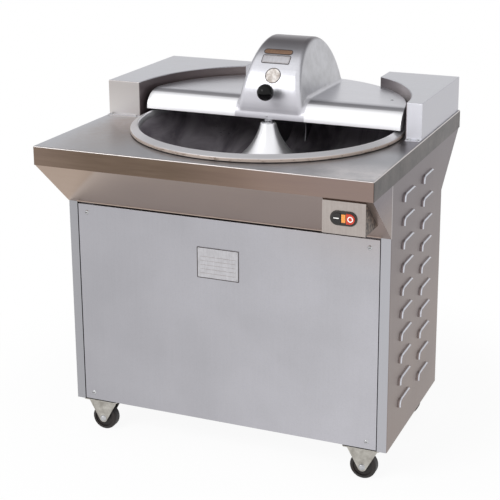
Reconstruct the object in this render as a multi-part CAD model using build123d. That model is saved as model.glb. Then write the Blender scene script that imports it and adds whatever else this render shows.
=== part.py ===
from build123d import *
from math import acos, atan2, cos, hypot, pi, radians, sin, sqrt
import os

# Meat bowl cutter on a rolling cabinet. Millimetres, +X right, +Y to the rear, +Z up.
# The origin is on the floor, under the middle of the worktop.

# --- worktop and cabinet ---
TABLE_W = 800.0
TABLE_D = 713.0
TABLE_H = 757.0
APRON = 44.0
SHEET = 2.0
BEND_R = 3.0
HEM = 12.0
SIDE_INSET = 2.0
FRONT_OVERHANG = 139.0
REAR_OVERHANG = 155.0
SKIRT_DROP = 121.0
FLOOR_GAP = 85.0
POST_W = 23.0
POST_D = 14.0
LIP_W = 42.0
PANEL_GAP = 2.0
PANEL_HEAD_GAP = 5.0
PAN_T = 3.0
PAN_FLANGE = 15.0
FLANGE = 20.0
LAP_UP = 20.0
SCREW_D = 5.0
SCREW_HEAD_D = 11.0
SCREW_HEAD_H = 3.0
SCREW_IN = 25.0
SCREW_UP = 20.0
HOUSING_SCREW_L = 8.0
GLAND_X = 300.0
GLAND_UP = 60.0
GLAND_THREAD_D = 20.0
GLAND_THREAD_L = 12.0
GLAND_BORE_D = 12.0
GLAND_HEX = 24.0
GLAND_NUT_T = 5.0
GLAND_L = 16.0
VENT_L = 100.0
VENT_W = 8.0
VENT_X = 250.0
VENT_PITCH = 30.0
VENT_REACH = 90.0

# --- louvres in the side panels ---
LOUVRE_L = 90.0
LOUVRE_H = 20.0
LOUVRE_R = 16.0
LOUVRE_BULGE = 6.0
LOUVRE_DRAFT = 32.0
LOUVRE_EDGE_R = 2.5
LOUVRE_WALL = 1.5
LOUVRE_PITCH = 54.6
LOUVRE_TOP = 105.0
LOUVRE_FOOT = 60.0
LOUVRE_COLS = (-90.0, 66.0)

# --- bowl and knives ---
BOWL_X = 24.0
TROUGH_R = 162.0
TROUGH_ARC = 147.0
AXIS_UP = 45.0
BOWL_T = 3.0
BOWL_CAP_T = 4.0
CONE_TOP = 13.0
RIM_UP = 16.0
RIM_R = 325.0
RIM_EDGE_UP = 8.0
RIM_BAND_UP = 2.0
HOLE_IN = 13.0
COLLAR_UP = 4.0
KNIFE_GAP = 12.0
KNIFE_T = 3.0
KNIFE_HUB_R = 25.0
KNIFE_PITCH = 14.0
KNIFE_COUNT = 3
KNIFE_TIP = 48.0
SPACER_R = 20.0
SHAFT_D = 20.0
SHAFT_END = 22.0
SHAFT_COLLAR_R = 22.0
SHAFT_COLLAR_L = 10.0
SHAFT_NUT = 34.0
SHAFT_NUT_H = 14.0
TUBE_D = 30.0
TUBE_END = -46.0
BEARING_OUT = 26.0
BEARING_L = 46.0
BEARING_R = 34.0
BEARING_FOOT = 90.0
BEARING_FOOT_T = 12.0
BOLT_D = 10.0
BOLT_HEAD = 17.0
BOLT_HEAD_H = 5.0
BOLT_L = 24.0
WASHER_T = 1.5
WASHER_D = 24.0
CARRIER_LOW = -72.0

# --- fits ---
RUN_FIT = 0.05
SNUG = 0.02
CLEAR = 0.3

# --- lid with its hood ---
LID_IN = 2.0
LID_FRONT = 4.0
LID_LOW = 20.0
LID_TOP = 65.0
LID_NOSE = 62.0
LID_BEAD = 3.0
HOOD_Y = 157.0
HOOD_UP = 44.0
HOOD_R = 151.0
HOOD_LOW_W = 88.0
HOOD_TOP_W = 57.0
HOOD_EDGE_R = 14.0
HOOD_ROOT_R = 10.0
NOTCH_SIDE = 12.0
HINGE_OUT = 12.0
HINGE_PIN_D = 10.0
HINGE_BARREL_D = 17.0
HINGE_SPAN = 55.0
HINGE_PLAY = 0.5
LEAF_W = 50.0
LEAF_BACK = 30.0
LEAF_DOWN = 14.0
LEAF_UP = 10.0
LUG_T = 7.0
LUG_R = 10.0
LUG_FOOT_W = 22.0
LUG_FOOT_T = 5.0
KNOB_D = 40.0
KNOB_X = 27.0
KNOB_ANGLE = 14.2
KNOB_STEM = 18.0
KNOB_GRIP = 10.0
STUD_D = 8.0
STUD_NUT = 13.0
STUD_NUT_H = 5.0

# --- housings beside the lid ---
HOUSING_GAP = 12.0
HOUSING_UP = 86.0
HOUSING_IN = 4.0
HOUSING_REAR = 348.0
LEFT_FRONT = -10.0
LEFT_END = -155.0
RIGHT_FRONT = 9.0
RIGHT_END = 214.0
FOOT_TAB = 14.0

# --- switch box ---
BOX_IN = 65.0
BOX_W = 95.0
BOX_H = 71.0
BOX_DOWN = 50.0
BOX_FRONT_IN = 4.5
BEZEL_W = 59.0
BEZEL_H = 31.5
BEZEL_T = 2.5
BUTTON_TRAVEL = 3.0
BUTTON_PROUD = 1.5
BUTTON_L = 14.0
LAMP_W = 12.0
BEZEL_RIM = 4.0
BEZEL_DEPTH = 12.0
WELL_GAP = 0.5
LENS_EDGE = 1.5
LENS_END = 7.0
LENS_DEPTH = 6.0
LENS_PROUD = 0.5
LENS_FIT = 0.05
BORE_FIT = 0.2

# --- drive ---
MOTOR_Y = 80.0
MOTOR_R = 85.0
MOTOR_L = 170.0
MOTOR_X = -305.0
MOTOR_SHAFT_D = 24.0
MOTOR_UP = 92.0
RAIL_H = 16.0
FAN_COVER_L = 44.0
KNIFE_BELT_X = -368.0
BELT_PITCH = 19.0
BELT_W = 12.0
BELT_T = 8.0
BELT_GAP = 0.3
VEE_SIDE = 2.6
GROOVE_DEEP = 1.2
PULLEY_FLANGE = 3.0
KNIFE_PULLEY_R = 31.0
MOTOR_KNIFE_R = 40.0
MOTOR_BOWL_R = 30.0
WORM_PULLEY_R = 60.0
WORM_OFFSET = 63.0
GEARBOX_DOWN = 167.0
GEARBOX_H = 120.0
GEARBOX_L = 160.0
GEARBOX_W = 150.0
SLEEVE_L = 180.0
SLEEVE_D = 62.0
WORM_D = 22.0
SPINDLE_D = 35.0
STAND_T = 8.0
STAND_SIDE = 16.0
STAND_FOOT = 26.0
STAND_WINDOW_IN = 34.0
STAND_WINDOW_UP = 60.0
CONTACTOR_X = 190.0
CONTACTOR_Y = -150.0
CONTACTOR_W = 150.0
CONTACTOR_D = 90.0
CONTACTOR_H = 200.0
CONTACTOR_LID = 3.0

# --- casters ---
WHEEL_D = 63.0
WHEEL_W = 25.0
CASTER_IN = 62.0
FRONT_CASTER_IN = 31.5
REAR_CASTER_IN = 31.5
PLATE_L = 90.0
PLATE_W = 62.0
PLATE_T = 2.5
PLATE_HOLE_IN = 9.0
PLATE_CORNER_R = 6.0
AXLE_D = 8.0
AXLE_HEAD_D = 16.0
AXLE_HEAD_H = 5.0
AXLE_NUT = 13.0
AXLE_NUT_H = 5.5
FORK_EYE_R = 10.5
FORK_HALF = 20.0
WHEEL_EDGE_R = 5.0
WHEEL_RIM = 8.0
WHEEL_DISH = 3.0
WHEEL_BOSS_R = 11.0
WHEEL_BOSS_OUT = 1.5
WHEEL_PLAY = 2.5
CASTER_NUT = 12.4
CASTER_HEAD_H = 5.0
CASTER_NUT_H = 6.0
CASTER_BOLT_TAIL = 8.0
SWIVEL_CUP_R = 24.0
SWIVEL_CUP_TOP_R = 27.0
SWIVEL_CUP_H = 6.0
SWIVEL_PIN_R = 5.0
SWIVEL_PIN_L = 19.0
SWIVEL_HEAD_R = 9.0
SWIVEL_HEAD_H = 3.6
CROWN_R = 26.0
CROWN_T = 3.0
TRAIL = 22.0

# --- levels and planes that follow from the sizes above ---
FRONT_Y = -TABLE_D / 2
REAR_Y = TABLE_D / 2
CAB_X = TABLE_W / 2 - SIDE_INSET
CAB_FRONT = FRONT_Y + FRONT_OVERHANG
CAB_REAR = REAR_Y - REAR_OVERHANG
APRON_Z = TABLE_H - APRON
CAB_TOP = APRON_Z - SKIRT_DROP
POST_X = CAB_X - POST_W
LOUVRE_ROWS = 1 + int((TABLE_H - LOUVRE_TOP - FLOOR_GAP - LOUVRE_FOOT) / LOUVRE_PITCH)
HOLE_R = RIM_R - HOLE_IN
LID_R = RIM_R - LID_IN
HINGE_Y = LID_R + HINGE_OUT
HOUSING_R = LID_R + HOUSING_GAP
HOUSING_X = TABLE_W / 2 - HOUSING_IN
BOX_X = TABLE_W / 2 - BOX_IN
CASTER_X = CAB_X - CASTER_IN
BOWL_BELT_X = KNIFE_BELT_X + BELT_PITCH
BEARING_X = KNIFE_BELT_X + BEARING_OUT
GEARBOX_TOP = TABLE_H - GEARBOX_DOWN
AXIS_Z = TABLE_H + AXIS_UP
HINGE_Z = AXIS_Z
PAN_TOP = FLOOR_GAP + PAN_T
MOTOR_Z = PAN_TOP + RAIL_H + MOTOR_UP
WORM_Z = GEARBOX_TOP - GEARBOX_H / 2
KNIFE_R = TROUGH_ARC - KNIFE_GAP
UNDER_ARC = TROUGH_ARC + BOWL_T
WHEEL_Z = WHEEL_D / 2
LEG_IN = WHEEL_W / 2 + WHEEL_PLAY
GLAND_Z = FLOOR_GAP + GLAND_UP

nodes = {}


def keep(name, shape):
    nodes[name] = shape
    return shape


def block(x0, x1, y0, y1, z0, z1):
    size = Box(x1 - x0, y1 - y0, z1 - z0)
    return Pos((x0 + x1) / 2, (y0 + y1) / 2, (z0 + z1) / 2) * size


def rod_x(x0, x1, y, z, radius):
    return Pos((x0 + x1) / 2, y, z) * Rot(0, 90, 0) * Cylinder(radius, x1 - x0)


def rod_y(y0, y1, x, z, radius):
    return Pos(x, (y0 + y1) / 2, z) * Rot(90, 0, 0) * Cylinder(radius, y1 - y0)


def rod_z(z0, z1, x, y, radius):
    return Pos(x, y, (z0 + z1) / 2) * Cylinder(radius, z1 - z0)


def prism_yz(points, x0, x1):
    outline = Polyline(*[(x0, y, z) for y, z in points], close=True)
    return extrude(make_face(outline), amount=x1 - x0, dir=(1, 0, 0))


def mirror_x(shape):
    return mirror(shape, about=Plane.YZ)


def arc_y(radius, centre_y, dz, side):
    """Y where a circle of this radius stands dz above or below its centre."""
    return centre_y + side * sqrt(radius**2 - dz**2)


# ---------------------------------------------------------------- worktop and skirts


def worktop():
    top = block(-TABLE_W / 2, TABLE_W / 2, FRONT_Y, REAR_Y, APRON_Z, TABLE_H)
    top = fillet(top.edges().filter_by(Axis.Z), BEND_R)
    top = fillet(top.faces().sort_by(Axis.Z)[-1].edges(), BEND_R)
    inside_x = TABLE_W / 2 - SHEET
    inside_y = TABLE_D / 2 - SHEET
    top -= block(-inside_x, inside_x, -inside_y, inside_y, APRON_Z - 1, TABLE_H - SHEET)
    for side in (-1, 1):
        edges = sorted((side * inside_y, side * (inside_y - HEM)))
        hem_x = inside_x - SHEET
        top += block(-hem_x, hem_x, edges[0], edges[1], APRON_Z, APRON_Z + SHEET)
    top += rod_z(TABLE_H - SHEET, TABLE_H + COLLAR_UP, BOWL_X, 0, HOLE_R + SHEET)
    top -= rod_z(TABLE_H - 2 * SHEET, TABLE_H + COLLAR_UP + 1, BOWL_X, 0, HOLE_R)
    slot = block(-BELT_W, BELT_W, -1.6 * KNIFE_PULLEY_R, 1.6 * KNIFE_PULLEY_R, -9, 9)
    slot = fillet(slot.edges().filter_by(Axis.Z), BELT_W / 2)
    for x, y in foot_screw_spots(True) + foot_screw_spots(False):
        top -= rod_z(TABLE_H - SHEET - 1, TABLE_H + 1, x, y, SCREW_D / 2 + CLEAR)
    return top - Pos(KNIFE_BELT_X, TROUGH_R, TABLE_H) * slot


def skirt_line(front):
    """The sloping face's upper and lower corners, as (y, z)."""
    if front:
        return (FRONT_Y + SHEET, APRON_Z), (CAB_FRONT, CAB_TOP)
    return (REAR_Y - SHEET, APRON_Z), (CAB_REAR, CAB_TOP)


def skirt_wedge(front, half_x, inset):
    (y0, z0), (y1, z1) = skirt_line(front)
    slope = (z1 - z0) / (y1 - y0)
    lift = inset * hypot(1, slope)
    grow = 1.0 if inset else 0.0
    inner_y = y1 + (grow if front else -grow)
    top_z = z0 + grow
    low = z1 + lift + slope * (inner_y - y1)
    top_y = y1 + (top_z - z1 - lift) / slope
    return prism_yz([(top_y, top_z), (inner_y, top_z), (inner_y, low)], -half_x, half_x)


def front_skirt():
    wedge = skirt_wedge(True, CAB_X, 0)
    skin = wedge - skirt_wedge(True, CAB_X - SHEET, SHEET)
    inner_x = CAB_X - SHEET
    upper = block(-inner_x, inner_x, FRONT_Y, FRONT_Y + FLANGE, APRON_Z - SHEET, APRON_Z)
    skin += upper & wedge
    skin += block(-POST_X, POST_X, CAB_FRONT - SHEET, CAB_FRONT + FLANGE, CAB_TOP, CAB_TOP + SHEET)
    return skin & block(-CAB_X, CAB_X, FRONT_Y, CAB_FRONT + FLANGE, CAB_TOP, APRON_Z)


def rear_skirt():
    inner_x = CAB_X - SHEET
    wedge = skirt_wedge(False, inner_x, 0)
    skin = wedge - skirt_wedge(False, inner_x + 1, SHEET)
    upper = block(-inner_x, inner_x, REAR_Y - FLANGE, REAR_Y, APRON_Z - SHEET, APRON_Z)
    skin += upper & wedge
    skin += block(-POST_X, POST_X, CAB_REAR - FLANGE, CAB_REAR + SHEET, CAB_TOP, CAB_TOP + SHEET)
    return skin & block(-inner_x, inner_x, CAB_REAR - FLANGE, REAR_Y, CAB_TOP, APRON_Z)


# ---------------------------------------------------------------- cabinet panels


def corner_post(front):
    """Folded edge of a side panel: face, return and the lip that the panel screws to."""
    face_y = CAB_FRONT if front else CAB_REAR
    into = 1 if front else -1
    y = sorted((face_y, face_y + into * POST_D))
    post = block(POST_X, CAB_X, y[0], y[1], FLOOR_GAP, CAB_TOP)
    outer = post.edges().filter_by(Axis.Z).group_by(Axis.X)[-1]
    outer = outer.sort_by(Axis.Y)[0 if front else -1]
    post = fillet(outer, BEND_R)
    y = sorted((face_y + into * SHEET, face_y + into * (POST_D + 1)))
    post -= block(POST_X + SHEET, CAB_X - SHEET, y[0], y[1], FLOOR_GAP - 1, CAB_TOP + 1)
    y = sorted((face_y + into * (POST_D - SHEET), face_y + into * POST_D))
    return post + block(POST_X - LIP_W + SHEET, POST_X + SHEET, y[0], y[1], FLOOR_GAP, CAB_TOP)


def louvre(inner):
    """One pressed pocket, open along its lower edge. inner gives the space under it."""
    inset = LOUVRE_WALL if inner else 0
    wide = LOUVRE_L - 2 * inset
    tall = 2 * (LOUVRE_H - inset)
    outline = Plane(origin=(CAB_X, 0, 0), x_dir=(0, 1, 0), z_dir=(1, 0, 0))
    outline *= RectangleRounded(wide, tall, LOUVRE_R - inset)
    form = extrude(outline, amount=LOUVRE_BULGE - inset, taper=LOUVRE_DRAFT)
    rim = form.faces().sort_by(Axis.X)[-1].edges()
    form = fillet(rim, LOUVRE_EDGE_R - inset)
    form += extrude(outline, amount=-(SHEET + 1 if inner else SHEET / 2))
    return form & block(0, 2 * CAB_X, -LOUVRE_L, LOUVRE_L, 0, LOUVRE_H)


def louvre_spots():
    first = TABLE_H - LOUVRE_TOP
    rows = [first - row * LOUVRE_PITCH for row in range(LOUVRE_ROWS)]
    return [Pos(0, y, z) for y in LOUVRE_COLS for z in rows]


def side_panel():
    lap = APRON_Z + LAP_UP
    wall = [
        (CAB_FRONT + BEND_R, FLOOR_GAP),
        (CAB_REAR - BEND_R, FLOOR_GAP),
        (CAB_REAR - BEND_R, CAB_TOP - SHEET),
        (CAB_REAR, CAB_TOP),
        (REAR_Y - SHEET, APRON_Z),
        (REAR_Y - SHEET, lap),
        (CAB_FRONT, lap),
        (CAB_FRONT, CAB_TOP),
        (CAB_FRONT + BEND_R, CAB_TOP),
    ]
    panel = prism_yz(wall, CAB_X - SHEET, CAB_X)
    panel += corner_post(True)
    panel += corner_post(False)
    dome = louvre(False)
    hollow = louvre(True)
    spots = louvre_spots()
    panel += [spot * dome for spot in spots]
    panel -= [spot * hollow for spot in spots]
    holes = [rod_y(face - POST_D - 1, face + POST_D + 1, x, z, SCREW_D / 2 + CLEAR)
             for face in (CAB_FRONT, CAB_REAR) for x, z in screw_spots() if x > 0]
    return panel - holes


def screw_spots():
    x = POST_X - SCREW_IN
    low = FLOOR_GAP + SCREW_UP
    high = CAB_TOP - PANEL_HEAD_GAP - SCREW_UP
    return [(-x, low), (x, low), (-x, high), (x, high)]


def cabinet_panel(front):
    """Flat tray whose folded edges stand on the lips of the posts."""
    face_y = CAB_FRONT if front else CAB_REAR
    into = 1 if front else -1
    depth = POST_D - SHEET
    half = POST_X - PANEL_GAP
    low = FLOOR_GAP + PANEL_GAP
    high = CAB_TOP - PANEL_HEAD_GAP
    y = sorted((face_y, face_y + into * depth))
    tray = block(-half, half, y[0], y[1], low, high)
    rim = tray.edges().filter_by(Plane.XZ).group_by(Axis.Y)[0 if front else -1]
    tray = fillet(rim, SHEET / 2)
    y = sorted((face_y + into * SHEET, face_y + into * (depth + 1)))
    tray -= block(-half + SHEET, half - SHEET, y[0], y[1], low + SHEET, high - SHEET)
    reach = (face_y - POST_D, face_y + POST_D)
    for x, z in screw_spots():
        tray -= rod_y(reach[0], reach[1], x, z, SCREW_D / 2 + CLEAR)
    if not front:
        tray -= rod_y(reach[0], reach[1], GLAND_X, GLAND_Z, GLAND_THREAD_D / 2 + CLEAR)
    return tray


def dome_head(radius, height):
    """Low domed head standing on the origin."""
    ball = (radius**2 + height**2) / (2 * height)
    cap = Pos(0, 0, height - ball) * Sphere(ball)
    return cap & rod_z(0, height + 1, 0, 0, radius + 1)


def dome_screw(length):
    """Pan-head screw along -Z, its head's seat at the origin."""
    return dome_head(SCREW_HEAD_D / 2, SCREW_HEAD_H) + rod_z(-length, SCREW_HEAD_H / 2, 0, 0, SCREW_D / 2)


def panel_screws():
    screw = dome_screw(POST_D + SHEET)
    front = [Pos(x, CAB_FRONT, z) * Rot(90, 0, 0) * screw for x, z in screw_spots()]
    rear = [Pos(x, CAB_REAR, z) * Rot(-90, 0, 0) * screw for x, z in screw_spots()]
    return Compound(children=front + rear)


def base_pan():
    half = CAB_X - SHEET
    y0 = CAB_FRONT + POST_D
    y1 = CAB_REAR - POST_D
    pan = block(-half, half, y0, y1, FLOOR_GAP, FLOOR_GAP + PAN_FLANGE)
    pan -= block(-half + PAN_T, half - PAN_T, y0 + PAN_T, y1 - PAN_T, PAN_TOP, FLOOR_GAP + PAN_FLANGE + 1)
    vent = Pos(VENT_X, 0, FLOOR_GAP - 1) * extrude(SlotOverall(VENT_L, VENT_W), amount=PAN_T + 2)
    count = int(VENT_REACH / VENT_PITCH)
    pan -= [Pos(0, i * VENT_PITCH, 0) * vent for i in range(-count, count + 1)]
    for x, y in caster_bolt_spots():
        pan -= rod_z(FLOOR_GAP - 1, PAN_TOP + 1, x, y, AXLE_D / 2 + CLEAR)
    return pan


def cable_gland():
    face = CAB_REAR
    hexagon = Plane.XZ * RegularPolygon(GLAND_HEX / 2, 6, major_radius=False)
    nut = Pos(GLAND_X, face + GLAND_NUT_T, GLAND_Z) * extrude(hexagon, amount=GLAND_NUT_T)
    cap = rod_y(face + GLAND_NUT_T, face + GLAND_L, GLAND_X, GLAND_Z, GLAND_HEX / 2 - 1)
    cap = chamfer(cap.edges().sort_by(Axis.Y)[-1], GLAND_L / 4)
    thread = rod_y(face - GLAND_THREAD_L, face + 1, GLAND_X, GLAND_Z, GLAND_THREAD_D / 2)
    inner = Pos(GLAND_X, face - SHEET, GLAND_Z) * extrude(hexagon, amount=GLAND_NUT_T)
    bore = rod_y(face - GLAND_THREAD_L - 1, face + GLAND_L + 1, GLAND_X, GLAND_Z, GLAND_BORE_D / 2)
    return nut + cap + thread + inner - bore


# ---------------------------------------------------------------- casters


def caster_spots():
    """Where each top plate's middle is. The rear ones swivel, with their wheels trailing outwards."""
    front = CAB_FRONT + FRONT_CASTER_IN
    rear = CAB_REAR - REAR_CASTER_IN
    swivel_x = CASTER_X - TRAIL
    return {"front_left": (-CASTER_X, front), "front_right": (CASTER_X, front),
            "rear_left": (-swivel_x, rear), "rear_right": (swivel_x, rear)}


def caster_bolt_spots():
    reach = PLATE_L / 2 - PLATE_HOLE_IN
    return [(x + side * reach, y) for x, y in caster_spots().values() for side in (-1, 1)]


def top_plate():
    plate = block(-PLATE_L / 2, PLATE_L / 2, -PLATE_W / 2, PLATE_W / 2, FLOOR_GAP - PLATE_T, FLOOR_GAP)
    plate = fillet(plate.edges().filter_by(Axis.Z), PLATE_CORNER_R)
    for side in (-1, 1):
        hole_x = side * (PLATE_L / 2 - PLATE_HOLE_IN)
        plate -= rod_z(FLOOR_GAP - PLATE_T - 1, FLOOR_GAP + 1, hole_x, 0, AXLE_D / 2 + CLEAR)
    return plate


def fork_leg(top_half, top_z, axle_x):
    """One V-shaped cheek in the XZ plane, rounded round the axle."""
    ring = Pos(axle_x, WHEEL_Z) * Circle(FORK_EYE_R)
    head = Line((-top_half, top_z), (top_half, top_z))
    outline = make_hull(ring.edges() + head.edges())
    return outline - Pos(axle_x, WHEEL_Z) * Circle(AXLE_D / 2 + SNUG)


def fork_legs(top_half, top_z, axle_x):
    leg = Plane.XZ * fork_leg(top_half, top_z, axle_x)
    near = Pos(0, -LEG_IN, 0) * extrude(leg, amount=PLATE_T)
    far = Pos(0, LEG_IN + PLATE_T, 0) * extrude(leg, amount=PLATE_T)
    return near + far


def fixed_caster_fork():
    under = FLOOR_GAP - PLATE_T / 2
    return top_plate() + fork_legs(PLATE_L / 2 - 4, under, 0)


def swivel_plate():
    cup_z = FLOOR_GAP - PLATE_T - SWIVEL_CUP_H / 2
    cup = Pos(0, 0, cup_z) * Cone(SWIVEL_CUP_R, SWIVEL_CUP_TOP_R, SWIVEL_CUP_H)
    low = FLOOR_GAP - SWIVEL_PIN_L
    pin = rod_z(low, FLOOR_GAP - 1, 0, 0, SWIVEL_PIN_R)
    head = rod_z(low, low + SWIVEL_HEAD_H, 0, 0, SWIVEL_HEAD_R)
    return top_plate() + cup + pin + head


def swivel_fork(trail):
    z1 = FLOOR_GAP - PLATE_T - SWIVEL_CUP_H - CLEAR
    crown = rod_z(z1 - CROWN_T, z1, 0, 0, CROWN_R)
    crown -= rod_z(z1 - CROWN_T - 1, z1 + 1, 0, 0, SWIVEL_PIN_R + CLEAR)
    return crown + fork_legs(FORK_HALF, z1 - 1, trail)


def wheel():
    """Tread, web and hub in one turned piece, its axis along Y."""
    half = WHEEL_W / 2
    hub = half + WHEEL_BOSS_OUT
    radius = WHEEL_D / 2
    tread = fillet(rod_y(-half, half, 0, 0, radius).edges().filter_by(GeomType.CIRCLE), WHEEL_EDGE_R)
    for side in (-1, 1):
        face = sorted((side * (half - WHEEL_DISH), side * (half + 1)))
        tread -= rod_y(face[0], face[1], 0, 0, radius - WHEEL_RIM)
    boss = rod_y(-hub, hub, 0, 0, WHEEL_BOSS_R)
    return tread + boss - rod_y(-hub - 1, hub + 1, 0, 0, AXLE_D / 2 + RUN_FIT)


def axle_bolt():
    """Axle along Y with a domed head in front and a nut behind."""
    reach = LEG_IN + PLATE_T
    head = Pos(0, -reach, 0) * Rot(90, 0, 0) * dome_head(AXLE_HEAD_D / 2, AXLE_HEAD_H)
    hexagon = Plane.XZ * RegularPolygon(AXLE_NUT / 2, 6, major_radius=False)
    nut = Pos(0, reach + AXLE_NUT_H, 0) * extrude(hexagon, amount=AXLE_NUT_H)
    return head + nut + rod_y(-reach - AXLE_HEAD_H / 2, reach + AXLE_NUT_H + SHEET, 0, 0, AXLE_D / 2)


def caster_bolts():
    hexagon = RegularPolygon(CASTER_NUT / 2, 6, major_radius=False)
    head = Pos(0, 0, FLOOR_GAP - PLATE_T - CASTER_HEAD_H) * extrude(hexagon, amount=CASTER_HEAD_H)
    nut = Pos(0, 0, PAN_TOP) * extrude(hexagon, amount=CASTER_NUT_H)
    bolt = head + nut + rod_z(FLOOR_GAP - PLATE_T - 1, PAN_TOP + CASTER_BOLT_TAIL, 0, 0, AXLE_D / 2)
    return Compound(children=[Pos(x, y, 0) * bolt for x, y in caster_bolt_spots()])


def casters():
    plates = [Pos(x, y, 0) * swivel_plate() for n, (x, y) in caster_spots().items() if "rear" in n]
    keep("rear_caster_plates", Compound(children=plates))
    for name, (x, y) in caster_spots().items():
        trail = 0 if name.startswith("front") else TRAIL * (1 if x > 0 else -1)
        if trail:
            keep(f"{name}_caster_fork", Pos(x, y, 0) * swivel_fork(trail))
            keep(f"{name}_axle_bolt", Pos(x + trail, y, WHEEL_Z) * axle_bolt())
        else:
            keep(f"{name}_caster_fork", Pos(x, y, 0) * fixed_caster_fork())
        keep(f"{name}_wheel", Pos(x + trail, y, WHEEL_Z) * wheel())
    front = [Pos(x, y, WHEEL_Z) * axle_bolt() for n, (x, y) in caster_spots().items() if "front" in n]
    keep("front_axle_bolts", Compound(children=front))
    keep("caster_bolts", caster_bolts())


# ---------------------------------------------------------------- housings on the worktop


def housing_outline(right, inset):
    """Footprint between the outer corner and the arc that clears the lid."""
    side = 1 if right else -1
    front = (RIGHT_FRONT if right else LEFT_FRONT) + inset
    outer_x = side * (HOUSING_X - inset)
    end_x = (RIGHT_END if right else LEFT_END) + side * inset
    radius = HOUSING_R + inset
    rear = HOUSING_REAR - inset
    start = (BOWL_X + side * sqrt(radius**2 - front**2), front)
    stop = (end_x, sqrt(radius**2 - (end_x - BOWL_X) ** 2))
    mid_angle = (atan2(start[1], start[0] - BOWL_X) + atan2(stop[1], stop[0] - BOWL_X)) / 2
    if not right and start[1] < 0:
        mid_angle += pi
    mid = (BOWL_X + radius * cos(mid_angle), radius * sin(mid_angle))
    arc = ThreePointArc(start, mid, stop)
    rest = Polyline(stop, (end_x, rear), (outer_x, rear), (outer_x, front), start)
    return make_face(Curve() + arc + rest)


def housing(right):
    outline = housing_outline(right, 0)
    shell = Pos(0, 0, TABLE_H) * extrude(outline, amount=HOUSING_UP)
    shell = fillet(shell.faces().sort_by(Axis.Z)[-1].edges(), SHEET)
    hollow = Pos(0, 0, TABLE_H - 1) * extrude(housing_outline(right, SHEET), amount=HOUSING_UP - SHEET + 1)
    shell -= hollow
    side = 1 if right else -1
    front = RIGHT_FRONT if right else LEFT_FRONT
    inner_x = BOWL_X + side * sqrt(HOUSING_R**2 - front**2)
    x = sorted((side * HOUSING_X, inner_x))
    tab = block(x[0], x[1], front - FOOT_TAB, front + 1, TABLE_H, TABLE_H + SHEET)
    tab = fillet(tab.edges().filter_by(Axis.Z).group_by(Axis.Y)[0], 4)
    shell += tab
    for x, y in foot_screw_spots(right):
        shell -= rod_z(TABLE_H - 1, TABLE_H + SHEET + 1, x, y, SCREW_D / 2 + CLEAR)
    if not right:
        shell -= rod_x(-HOUSING_R, BOWL_X, TROUGH_R, AXIS_Z, TUBE_D / 2 + 1)
    return shell


def foot_screw_spots(right):
    front = (RIGHT_FRONT if right else LEFT_FRONT) - FOOT_TAB / 2
    side = 1 if right else -1
    near = abs(BOWL_X + side * HOUSING_R)
    return [(side * (near + 10), front), (side * (HOUSING_X - 8), front)]


def housing_screws():
    screw = dome_screw(HOUSING_SCREW_L)
    spots = foot_screw_spots(True) + foot_screw_spots(False)
    return Compound(children=[Pos(x, y, TABLE_H + SHEET) * screw for x, y in spots])


# ---------------------------------------------------------------- bowl


def bowl_profile():
    """Half section of the bowl: trough, hollow cone and rolled rim, as (radius, height)."""
    def trough(radius, z, side):
        return (arc_y(radius, TROUGH_R, z - AXIS_UP, side), z)

    low = AXIS_UP - TROUGH_ARC
    under = AXIS_UP - UNDER_ARC
    cone_top = trough(TROUGH_ARC, CONE_TOP - 2, -1)
    rim_in = trough(TROUGH_ARC, RIM_UP - 4, 1)
    rim_under = trough(UNDER_ARC, RIM_UP - 7, 1)
    cone_under = trough(UNDER_ARC, CONE_TOP - BOWL_CAP_T, -1)
    crest = (rim_in[0] + 4, RIM_UP)
    shoulder = (RIM_R - 2.5, RIM_EDGE_UP + 2)
    with BuildSketch() as section:
        with BuildLine():
            Polyline((0, CONE_TOP), (cone_top[0] - 3, CONE_TOP))
            ThreePointArc((cone_top[0] - 3, CONE_TOP), (cone_top[0] - 0.8, CONE_TOP - 0.6), cone_top)
            ThreePointArc(cone_top, (TROUGH_R, low), rim_in)
            ThreePointArc(rim_in, (rim_in[0] + 1.3, RIM_UP - 1.1), crest)
            Line(crest, shoulder)
            ThreePointArc(shoulder, (RIM_R - 0.6, RIM_EDGE_UP + 0.6), (RIM_R, RIM_EDGE_UP - 1))
            Polyline((RIM_R, RIM_EDGE_UP - 1), (RIM_R, RIM_BAND_UP), (RIM_R - BOWL_T, RIM_BAND_UP),
                     (RIM_R - BOWL_T, RIM_EDGE_UP - 1), (crest[0] + 1, RIM_UP - 3.4), rim_under)
            ThreePointArc(rim_under, (TROUGH_R, under), cone_under)
            Polyline(cone_under, (0, CONE_TOP - BOWL_CAP_T), (0, CONE_TOP))
        make_face()
    return section.sketch


def bowl():
    turned = revolve(Plane.XZ * bowl_profile(), Axis.Z)
    turned -= rod_z(0, CONE_TOP + 1, 0, 0, BOLT_D / 2 + CLEAR)
    return Pos(BOWL_X, 0, TABLE_H) * turned


def bowl_bolt():
    hexagon = RegularPolygon(BOLT_HEAD / 2, 6, major_radius=False)
    head = Pos(0, 0, CONE_TOP + WASHER_T) * extrude(hexagon, amount=BOLT_HEAD_H)
    head = chamfer(head.faces().sort_by(Axis.Z)[-1].edges(), 0.8)
    washer = rod_z(CONE_TOP, CONE_TOP + WASHER_T, 0, 0, WASHER_D / 2)
    shank = rod_z(CONE_TOP - BOLT_L, CONE_TOP + WASHER_T, 0, 0, BOLT_D / 2)
    return Pos(BOWL_X, 0, TABLE_H) * (head + washer + shank)


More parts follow.
